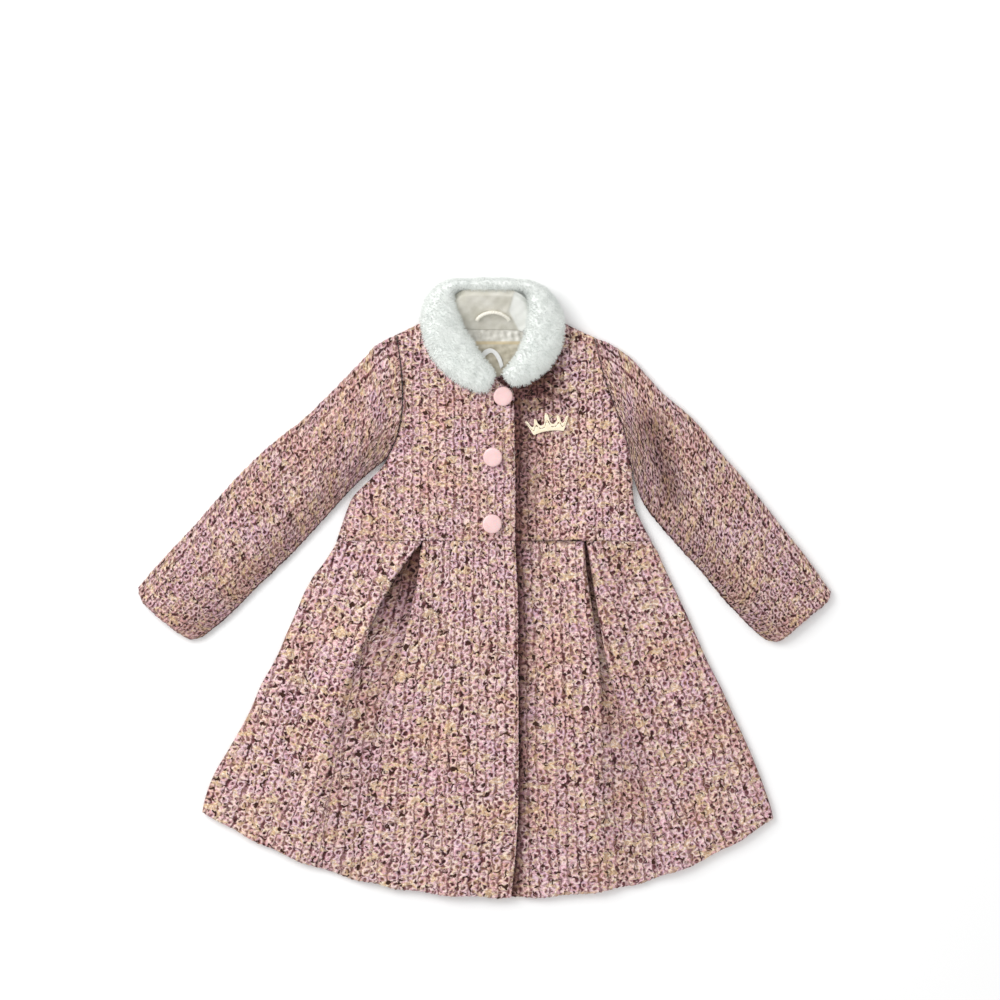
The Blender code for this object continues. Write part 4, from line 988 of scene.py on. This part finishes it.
ground = addNode(pileTree, "NodeGroupInput")
spread = addNode(pileTree, "GeometryNodeDistributePointsOnFaces", {"Mesh": ground.outputs[0],
                                                                 "Density": collar["pilesPerSquareMetre"], "Seed": 4})
swirl = addNode(pileTree, "ShaderNodeTexNoise", {"Vector": addNode(pileTree, "GeometryNodeInputPosition").outputs[0],
                                                 "Scale": 60.0, "Detail": 1.0}).outputs["Color"]
swirl = addNode(pileTree, "ShaderNodeVectorMath", {0: swirl, 1: (0.5, 0.5, 0.5)}, operation="SUBTRACT").outputs[0]
swirl = addNode(pileTree, "ShaderNodeVectorMath", {0: swirl, "Scale": 1.3}, operation="SCALE").outputs[0]
stray = addNode(pileTree, "FunctionNodeRandomValue", {"Min": (-0.28,) * 3, "Max": (0.28,) * 3, "Seed": 7},
                data_type="FLOAT_VECTOR").outputs[0]
lean = addNode(pileTree, "ShaderNodeVectorMath", {0: swirl, 1: stray}, operation="ADD").outputs[0]
lean = addNode(pileTree, "ShaderNodeVectorMath", {0: lean, 1: spread.outputs["Normal"]}, operation="ADD").outputs[0]
spin = addNode(pileTree, "FunctionNodeRandomValue", {"Min": (0.0,) * 3, "Max": (0.0, 0.0, 6.28), "Seed": 9},
               data_type="FLOAT_VECTOR").outputs[0]
aim = addNode(pileTree, "FunctionNodeAlignRotationToVector", {"Rotation": spin, "Vector": lean}, axis="Z")
size = addNode(pileTree, "FunctionNodeRandomValue", {2: 0.7, 3: 1.15, "Seed": 11}, data_type="FLOAT")
tuft = addNode(pileTree, "GeometryNodeObjectInfo", {"Object": lock})
grown = addNode(pileTree, "GeometryNodeInstanceOnPoints", {
    "Points": spread.outputs[0], "Instance": tuft.outputs["Geometry"], "Rotation": aim.outputs[0],
    "Scale": size.outputs[1]})
real = addNode(pileTree, "GeometryNodeRealizeInstances", {0: grown.outputs[0]})
pileTree.links.new(real.outputs[0], addNode(pileTree, "NodeGroupOutput").inputs[0])
pile = addPiece("collarPile", collarMesh.copy(), (plush,), [])
pile.modifiers.new("plushPile", "NODES").node_group = pileTree
freeze(pile)
for vert in pile.data.vertices:   # the lowest hairs are pressed flat on the surface
    vert.co.z = max(vert.co.z, 0.0)
pile.data.materials.clear()
pile.data.materials.append(plush)
bpy.data.objects.remove(lock)
print("collar: %d pile triangles" % sum(len(p.vertices) - 2 for p in pile.data.polygons))

stand = {
    "stations": [(463.8, 328.0, 457.9, 298.5, 4.9, 27.5), (470.0, 329.2, 465.5, 291.2, 4.5, 31.8),
                 (481.0, 329.6, 480.0, 290.2, 4.4, 32.8), (491.0, 329.8, 492.0, 290.0, 4.4, 33.0),
                 (502.0, 329.8, 504.0, 290.4, 4.4, 32.8), (511.0, 329.8, 515.5, 292.2, 4.5, 31.2),
                 (518.0, 330.2, 523.4, 300.0, 4.9, 27.0), (522.6, 331.6, 525.3, 313.0, 5.6, 21.5)],
    "wall": 0.0014,
    "cut": (0.082, 0.055), "area": 0.0035,
}


def standPlace(u, v, level):
    sx, sy, fx, fy, lowZ, highZ = along(stand["stations"], v).T
    up = u   # its top and sides bend down into the roll
    wider = 5.0 * (smooth((v - 0.8) / 0.2) - smooth((0.2 - v) / 0.2)) * smooth(u / 0.3)
    x, y = sx + (fx - sx) * up + wider, sy + (fy - sy) * up
    z = (lowZ + (highZ - lowZ) * np.minimum(up, 1.0)) / 1000
    wrinkle = 0.0007 * np.exp(-(distance(x, y, 514, 291, 507, 311) / 2.2) ** 2)
    wrinkle = wrinkle + 0.0003 * np.sin(x * 0.5 + y * 0.22) * np.sin(y * 0.35)
    z = z + wrinkle * (level == 0) - 0.0065 * smooth((u - 0.84) / 0.16)
    z = z - 0.0080 * smooth((np.abs(v - 0.5) - 0.36) / 0.14) * smooth((u - 0.55) / 0.45)
    wx, wy = toMetres(x, y)
    side = np.where(level == 0, 1.0, np.where(level == 1, 0.0, -1.0))
    points = np.stack([wx, wy - 0.35 * stand["wall"] * side, z + 0.6 * stand["wall"] * side], -1)
    zero = np.zeros_like(x)
    pale = smooth((x - np.interp(y, [291, 311, 330], [513.5, 507.5, 517])) / 3.0)   # painted light: paler past the crease, where the folded stand faces the light
    return points, np.stack([wx, wy * 1.3, zero], -1), zero, pale


def drawCream(tree, shader):
    place = addNode(tree, "ShaderNodeAttribute", attribute_name="weave").outputs["Vector"]
    soft = addNode(tree, "ShaderNodeTexNoise", {"Vector": place, "Scale": 60.0, "Detail": 3.0}).outputs["Fac"]
    tone = addNode(tree, "ShaderNodeValToRGB", {0: soft},
                   stops=[(0.3, "#C6C3B5"), (0.55, "#D6D3C8"), (0.8, "#E3E1D8")])
    # Painted light: past the crease the tone is mixed towards a near white
    pale = addNode(tree, "ShaderNodeAttribute", attribute_name="shade").outputs["Fac"]
    tone = addNode(tree, "ShaderNodeMix", {0: pale, 6: tone.outputs[0], 7: linearColor("#EDEEE9")}, data_type="RGBA")
    tree.links.new(tone.outputs[2], shader.inputs["Base Color"])
    threads = {"Vector": place, "Scale": 420.0, "Distortion": 1.2}
    warp = addNode(tree, "ShaderNodeTexWave", threads, bands_direction="X")
    weft = addNode(tree, "ShaderNodeTexWave", threads, bands_direction="Y")
    both = addNode(tree, "ShaderNodeMath", {0: warp.outputs["Fac"], 1: weft.outputs["Fac"]}, operation="MULTIPLY")
    bump = addNode(tree, "ShaderNodeBump", {"Height": both.outputs[0], "Strength": 0.5, "Distance": 0.0004})
    tree.links.new(bump.outputs[0], shader.inputs["Normal"])


# Cotton facing, plain woven: fine crossing threads, dry and chalky
creamCloth = newMaterial("cottonFacingPlainWeave", {"Roughness": 0.85, "Sheen Weight": 0.1}, drawCream)
mesh = panelMesh("neckFacing", 40, 96, 2, standPlace)
neckFacing = addPiece("neckFacing", mesh, (creamCloth, creamCloth), ["collar_stand"])

liner = {
    "lines": ([(463, 328.5), (470, 344), (480, 359), (494, 376)], [(525, 330), (521, 347), (513, 360), (503, 374)],
              [(463, 328.5), (494, 329.5), (525, 330)], [(494, 376), (498, 377), (503, 374)]),
    "wall": 0.0014, "cut": (0.066, 0.05), "area": 0.0020,
}


def linerPlace(u, v, level):
    x, y = net(liner["lines"], u, v)
    fold = 0.0004 * np.sin(x * 0.45) * np.sin(y * 0.3)
    fold = fold + 0.0008 * np.sin(x * 0.9 + 0.8 * np.sin(y * 0.4)) * smooth((343 - y) / 8.0)
    fold = fold + 0.0003 * np.sin(y * 0.9 + x * 0.2)
    z = 0.0044 + fold * smooth(np.minimum(np.minimum(u, 1 - u), np.minimum(v, 1 - v)) / 0.08)
    side = np.where(level == 0, 0.5, np.where(level == 1, 0.0, -0.5))
    wx, wy = toMetres(x, y)
    zero = np.zeros_like(x)
    points = np.stack([wx, wy, z + side * liner["wall"]], -1)
    return points, np.stack([wx, wy, zero], -1), zero, smooth((346 - y) / 6.0)


def drawNeckLining(tree, shader):
    place = addNode(tree, "ShaderNodeAttribute", attribute_name="weave").outputs["Vector"]
    band = addNode(tree, "ShaderNodeAttribute", attribute_name="shade").outputs["Fac"]   # the paler strip at the seam
    soft = addNode(tree, "ShaderNodeTexNoise", {"Vector": place, "Scale": 130.0, "Detail": 2.0}).outputs["Fac"]
    warm = addNode(tree, "ShaderNodeValToRGB", {0: soft}, stops=[(0.3, "#A29A86"), (0.7, "#C6BFAD")])
    pale = addNode(tree, "ShaderNodeValToRGB", {0: soft}, stops=[(0.3, "#BBB8AE"), (0.7, "#D9D7CF")])
    tone = addNode(tree, "ShaderNodeMix", {0: band, 6: warm.outputs[0], 7: pale.outputs[0]}, data_type="RGBA")
    line = addNode(tree, "ShaderNodeMath", {0: band, 1: 0.5, 2: 0.35}, operation="COMPARE").outputs[0]
    line = addNode(tree, "ShaderNodeMath", {0: line, 1: 0.6}, operation="MULTIPLY").outputs[0]
    tone = addNode(tree, "ShaderNodeMix", {0: line, 6: tone.outputs[2], 7: linearColor("#C7B182")}, data_type="RGBA")
    tree.links.new(tone.outputs[2], shader.inputs["Base Color"])
    bump = addNode(tree, "ShaderNodeBump", {"Height": soft, "Strength": 0.4, "Distance": 0.0008})
    tree.links.new(bump.outputs[0], shader.inputs["Normal"])


# Acetate satin lining, woven: smooth with soft wrinkles that catch the light
neckSatin = newMaterial("acetateSatinWoven", {"Roughness": 0.4, "Sheen Weight": 0.2}, drawNeckLining)
neckLining = addPiece("neckLining", panelMesh("neckLining", 60, 48, 2, linerPlace), (neckSatin, neckSatin),
                      ["neck_lining"])

loop = {"line": [(476.5, 320.5), (479, 317), (485, 313.5), (493, 312), (501, 313.5), (507, 317), (509.5, 320.5)],
        "radius": 0.0020}


def loopPlace(u, v):
    x, y = along(loop["line"], v).T
    nx, ny = along(loop["line"], np.clip(v + 0.01, 0, 1)).T
    px, py = along(loop["line"], np.clip(v - 0.01, 0, 1)).T
    size = np.hypot(nx - px, ny - py)
    tx, ty = (nx - px) / size, -(ny - py) / size
    angle = u * math.tau
    radius = loop["radius"] * (1 + 0.10 * np.cos(2 * angle + v * 90)) * np.where((v < 1e-6) | (v > 1 - 1e-6), 0, 1)
    wx, wy = toMetres(x, y)
    z = (4.4 + (33.0 - 4.4) * (329.8 - y) / (329.8 - 290.0)) / 1000 + 0.0030
    out, up = radius * np.cos(angle), radius * np.sin(angle)
    return np.stack([wx - ty * out, wy - 0.0011 + tx * out, z + up], -1)


def drawCord(tree, shader):
    place = addNode(tree, "ShaderNodeTexCoord").outputs["Object"]
    twist = addNode(tree, "ShaderNodeTexWave", {"Vector": place, "Scale": 240.0, "Distortion": 1.0},
                    bands_direction="DIAGONAL").outputs["Fac"]
    patternFinish(tree, shader, twist, [(0.0, "#E2DDCC"), (1.0, "#F5F2E8")], twist, 0.5, 0.0003)


# Rayon cord, twisted: a silky strand for hanging the coat up
cordSilk = newMaterial("rayonCordTwisted", {"Roughness": 0.4, "Sheen Weight": 0.3}, drawCord)
addPiece("hangerLoop", tubeMesh("hangerLoop", 18, 120, loopPlace), (cordSilk,), ["hanger_loop"])

tag = {
    "lines": ([(481, 354), (485, 350), (491, 348.5), (497, 352), (501, 358), (503.5, 366)],
              [(483.5, 358.5), (487.5, 354.5), (491.5, 353), (495, 356), (498, 361.5), (500.5, 369)],
              [(481, 354), (483.5, 358.5)], [(503.5, 366), (500.5, 369)]),
    "cut": (0.010, 0.034), "area": 0.00016,
}


def tagPlace(u, v, level):
    x, y = net(tag["lines"], u, v)
    wx, wy = toMetres(x, y)
    z = 0.0061 + 0.0007 * np.sin(v * math.pi) * (1 - u)
    z = z + np.where(level == 0, 0.0003, np.where(level == 1, 0, -0.0003))
    zero = np.zeros_like(x)
    return np.stack([wx, wy, z], -1), np.stack([u * 0.01, v * 0.034, zero], -1), zero, zero


def drawTag(tree, shader):
    place = addNode(tree, "ShaderNodeAttribute", attribute_name="weave").outputs["Vector"]
    ribs = addNode(tree, "ShaderNodeTexWave", {"Vector": place, "Scale": 700.0}, bands_direction="X").outputs["Fac"]
    patternFinish(tree, shader, ribs, [(0.0, "#D9DAD9"), (1.0, "#EDEDEB")], ribs, 0.3, 0.0002)


# Polyester label, woven and left bare: bright white with a fine rib
tagCloth = newMaterial("polyesterLabelWoven", {"Roughness": 0.5, "Sheen Weight": 0.1}, drawTag)
label = addPiece("labelBare", panelMesh("labelBare", 12, 48, 2, tagPlace), (tagCloth, tagCloth), ["label"])
print("neck dressed")


def drawButton(tree, shader):
    place = addNode(tree, "ShaderNodeTexCoord").outputs["Object"]
    cloud = addNode(tree, "ShaderNodeTexNoise", {"Vector": place, "Scale": 120.0, "Detail": 2.0}).outputs["Fac"]
    fine = addNode(tree, "ShaderNodeTexNoise", {"Vector": place, "Scale": 500.0, "Detail": 2.0}).outputs["Fac"]
    patternFinish(tree, shader, cloud, [(0.3, "#E8C2C0"), (0.7, "#EECBCA")], fine, 0.06, 0.0002)


# Polyester resin, cast and tumbled: pale pink, a faint cloud in it, satin polish
buttonResin = newMaterial("polyesterResinCast", {"Roughness": 0.32, "Coat Weight": 0.15, "Coat Roughness": 0.25,
                                                 "Subsurface Weight": 0.1, "Subsurface Scale": 0.002}, drawButton)
r = buttons["radius"]
profile = [(0.0, 0.0), (buttons["shank"], 0.0), (buttons["shank"], 0.0014), (r * 0.55, 0.00135), (r - 0.0022, 0.0014),
           (r - 0.0012, 0.0016), (r - 0.0005, 0.0022), (r, 0.0031), (r - 0.0002, 0.0037), (r - 0.0006, 0.0042),
           (r - 0.0013, 0.0046), (r - 0.0024, 0.0048), (r * 0.65, 0.0050), (r * 0.4, 0.00512), (r * 0.2, 0.00518),
           (0.0, 0.0052)]
for number, (x, y, tiltX, tiltY) in enumerate(buttons["places"], 1):
    bm = bmesh.new()
    line = [bm.verts.new((out, 0.0, up)) for out, up in profile]
    edges = [bm.edges.new(pair) for pair in zip(line, line[1:])]
    bmesh.ops.spin(bm, geom=line + edges, cent=(0, 0, 0), axis=(0, 0, 1), angle=math.tau, steps=buttons["steps"],
                   use_merge=True)
    bmesh.ops.remove_doubles(bm, verts=bm.verts[:], dist=1e-6)
    bmesh.ops.recalc_face_normals(bm, faces=bm.faces[:])
    wx, wy = toMetres(x, y)
    level = cloth["overMid"] + cloth["wall"] / 2 + 0.0003 + 0.0003 * (abs(tiltX) > 3)
    tilt = Euler((math.radians(tiltX), math.radians(tiltY), 0)).to_matrix().to_4x4()
    turn = Matrix.Translation((wx, wy, level)) @ tilt
    bmesh.ops.transform(bm, matrix=turn, verts=bm.verts[:])
    for face in bm.faces:
        face.smooth = True
    name = "button%d" % number
    addPiece(name, meshFrom(bm, name), (buttonResin,), ["button_%d" % number])
print("buttons sewn on")


def drawGold(tree, shader):
    place = addNode(tree, "ShaderNodeTexCoord").outputs["Object"]
    cloud = addNode(tree, "ShaderNodeTexNoise", {"Vector": place, "Scale": 350.0, "Detail": 3.0}).outputs["Fac"]
    rough = addNode(tree, "ShaderNodeMapRange", {"Value": cloud, "To Min": 0.30, "To Max": 0.50})
    tree.links.new(rough.outputs[0], shader.inputs["Roughness"])
    patternFinish(tree, shader, cloud, [(0.3, "#FBEBCB"), (0.7, "#FFF6DF")], cloud, 0.15, 0.0003)


# Zinc alloy, cast and plated pale gold: bright on the ridges, a little cloudy in the hollows
paleGold = newMaterial("zincCastGoldPlated", {"Metallic": 0.45}, drawGold)
pinRows = [   # from the middle outwards and mirrored, in mm: foot of the band, top of the points
    (0.0, -7.2, 0.0, 12.2), (1.6, -7.2, 1.9, 9.8), (3.2, -7.3, 3.0, 2.6), (5.2, -7.4, 5.2, 0.0),
    (7.6, -7.6, 8.2, 0.0), (9.8, -8.0, 10.6, 3.0), (11.6, -8.4, 11.4, 6.4), (12.8, -8.7, 13.0, 7.2),
    (13.8, -8.9, 14.2, 5.8), (14.8, -9.2, 14.6, 2.6), (15.6, -9.4, 16.0, -0.6), (16.8, -9.2, 18.4, 0.4),
    (18.6, -5.6, 21.0, 5.2), (20.4, -1.4, 22.6, 6.6), (22.6, 3.0, 24.0, 5.4),
]
halves = [(-a, b, -c, d) for a, b, c, d in reversed(pinRows[1:])] + pinRows
pinFlat = np.array(halves)
bm = bmesh.new()
# A generic tiara: the band below, the points above, and a row of piercings between them
for low, high in ((0.0, 0.50), (0.60, 1.0)):
    count = 84
    grid = bmesh.ops.create_grid(bm, x_segments=count, y_segments=2, size=1.0)["verts"]
    for vert in grid:
        place = spline(pinFlat, np.array([(vert.co.x + 1) / 2 * (len(halves) - 1)]))[0]
        foot, top = Vector(place[:2]), Vector(place[2:])
        share = low + (high - low) * (vert.co.y + 1) / 2
        vert.co = (*foot.lerp(top, share), 0.0)
    faces = list({face for vert in grid for face in vert.link_faces})
    raised = bmesh.ops.extrude_face_region(bm, geom=faces)["geom"]
    bmesh.ops.translate(bm, verts=[g for g in raised if isinstance(g, bmesh.types.BMVert)], vec=(0, 0, 1.5))
bmesh.ops.recalc_face_normals(bm, faces=bm.faces[:])
sharp = [e for e in bm.edges if e.is_manifold and e.calc_face_angle() > 0.9]
bmesh.ops.bevel(bm, geom=sharp, offset=0.32, segments=2, profile=0.5, affect="EDGES", material=-1, clamp_overlap=True)
bmesh.ops.remove_doubles(bm, verts=bm.verts[:], dist=1e-4)
struts = [0.0, 3.4, 6.6, 9.8, 13.0, 16.4]
for side in (-1, 1):
    for out in struts:   # short bridges across the row of piercings
        row = spline(pinFlat, np.array([np.interp(out * side, pinFlat[:, 0], np.arange(len(halves)))]))[0]
        foot, top = Vector(row[:2]), Vector(row[2:])
        turn = Matrix.Rotation(math.atan2(top.y - foot.y, top.x - foot.x) - math.pi / 2, 4, "Z")
        spot = foot.lerp(top, 0.55)
        turn = Matrix.Translation((spot.x, spot.y, 0.8)) @ turn @ Matrix.Rotation(math.pi / 2, 4, "X")
        bmesh.ops.create_cone(bm, cap_ends=True, segments=12, radius1=0.5, radius2=0.5,
                              depth=(top - foot).length * 0.24, matrix=turn)
beads = [(0, 11.4, 1.25), (-13.0, 6.8, 1.05), (13.0, 6.8, 1.05), (-23.0, 5.6, 1.0), (23.0, 5.6, 1.0),
         (0, 3.0, 1.1), (-12.9, 1.8, 0.9), (12.9, 1.8, 0.9)]
beads += [(out, -5.6 - abs(out) ** 2 * 0.008, 0.62) for out in range(-14, 15, 4)]
for x, y, radius in beads:
    bmesh.ops.create_icosphere(bm, subdivisions=2, radius=radius, matrix=Matrix.Translation((x, y, 1.2)))
bmesh.ops.translate(bm, verts=bm.verts[:], vec=(0, 0, -0.75))
bmesh.ops.recalc_face_normals(bm, faces=bm.faces[:])
cx, cy = toMetres(*pin["centre"])
squash = Matrix.Diagonal((0.001, 0.001, 0.001, 1.0))
place = Matrix.Translation((cx, cy, pin["level"] + pin["thick"] / 2))
place = place @ Matrix.Rotation(math.radians(pin["turn"]), 4, "Z")
bmesh.ops.transform(bm, matrix=place @ squash, verts=bm.verts[:])
for face in bm.faces:
    face.smooth = True
addPiece("tiaraPin", meshFrom(bm, "tiaraPin"), (paleGold,), ["tiara_pin"])
print("pin fixed")

bm = bmesh.new()
bmesh.ops.create_grid(bm, x_segments=2, y_segments=2, size=6.0)
bmesh.ops.translate(bm, verts=bm.verts[:], vec=(0, 0, -0.0004))
mesh = meshFrom(bm, "floor")
floor = bpy.data.objects.new("floor", mesh)
scene.collection.objects.link(floor)


def drawFloor(tree, shader):
    place = addNode(tree, "ShaderNodeTexCoord").outputs["Object"]
    cloud = addNode(tree, "ShaderNodeTexNoise", {"Vector": place, "Scale": 3.0, "Detail": 2.0}).outputs["Fac"]
    tone = addNode(tree, "ShaderNodeValToRGB", {0: cloud}, stops=[(0.3, "#FAFAFA"), (0.7, "#FCFCFC")])
    tree.links.new(tone.outputs[0], shader.inputs["Base Color"])


# Paper backdrop, matte: plain, near white
mesh.materials.append(newMaterial("paperBackdrop", {"Roughness": 0.95, "Specular IOR Level": 0.0}, drawFloor))

studio = {"key": (-1.5, 1.1, 1.45), "keyPower": 36.0, "keySize": 1.5, "world": 0.83}
world = bpy.data.worlds.new("studioWhite")
scene.world = world
world.use_nodes = True
world.node_tree.nodes["Background"].inputs[0].default_value = (1.0, 1.0, 1.0, 1.0)
world.node_tree.nodes["Background"].inputs[1].default_value = studio["world"]
key = bpy.data.lights.new("softKey", "AREA")
key.energy = studio["keyPower"]
key.size = studio["keySize"]
keyLight = bpy.data.objects.new("softKey", key)
keyLight.location = studio["key"]
keyLight.rotation_euler = (-Vector(studio["key"])).to_track_quat("-Z", "Y").to_euler()
scene.collection.objects.link(keyLight)

view = {"at": (500.0, 500.0), "far": 6.0, "wide": 1.1}
camera = bpy.data.objects.new("camera", bpy.data.cameras.new("camera"))
camera.data.sensor_width = 36.0
camera.data.lens = 36.0 * view["far"] / view["wide"]
camera.data.clip_end = 50.0
cx, cy = toMetres(*view["at"])
camera.location = (cx, cy, view["far"])
scene.collection.objects.link(camera)
scene.camera = camera
scene.view_settings.view_transform = "Standard"
print("stage, light and camera set")

counts = {thing.name: sum(len(face.vertices) - 2 for face in thing.data.polygons) for thing in scene.objects
          if thing.type == "MESH" and not thing.hide_render}
most = max(counts, key=counts.get)
print("triangles: %d in all, most in %s: %d" % (sum(counts.values()), most, counts[most]))
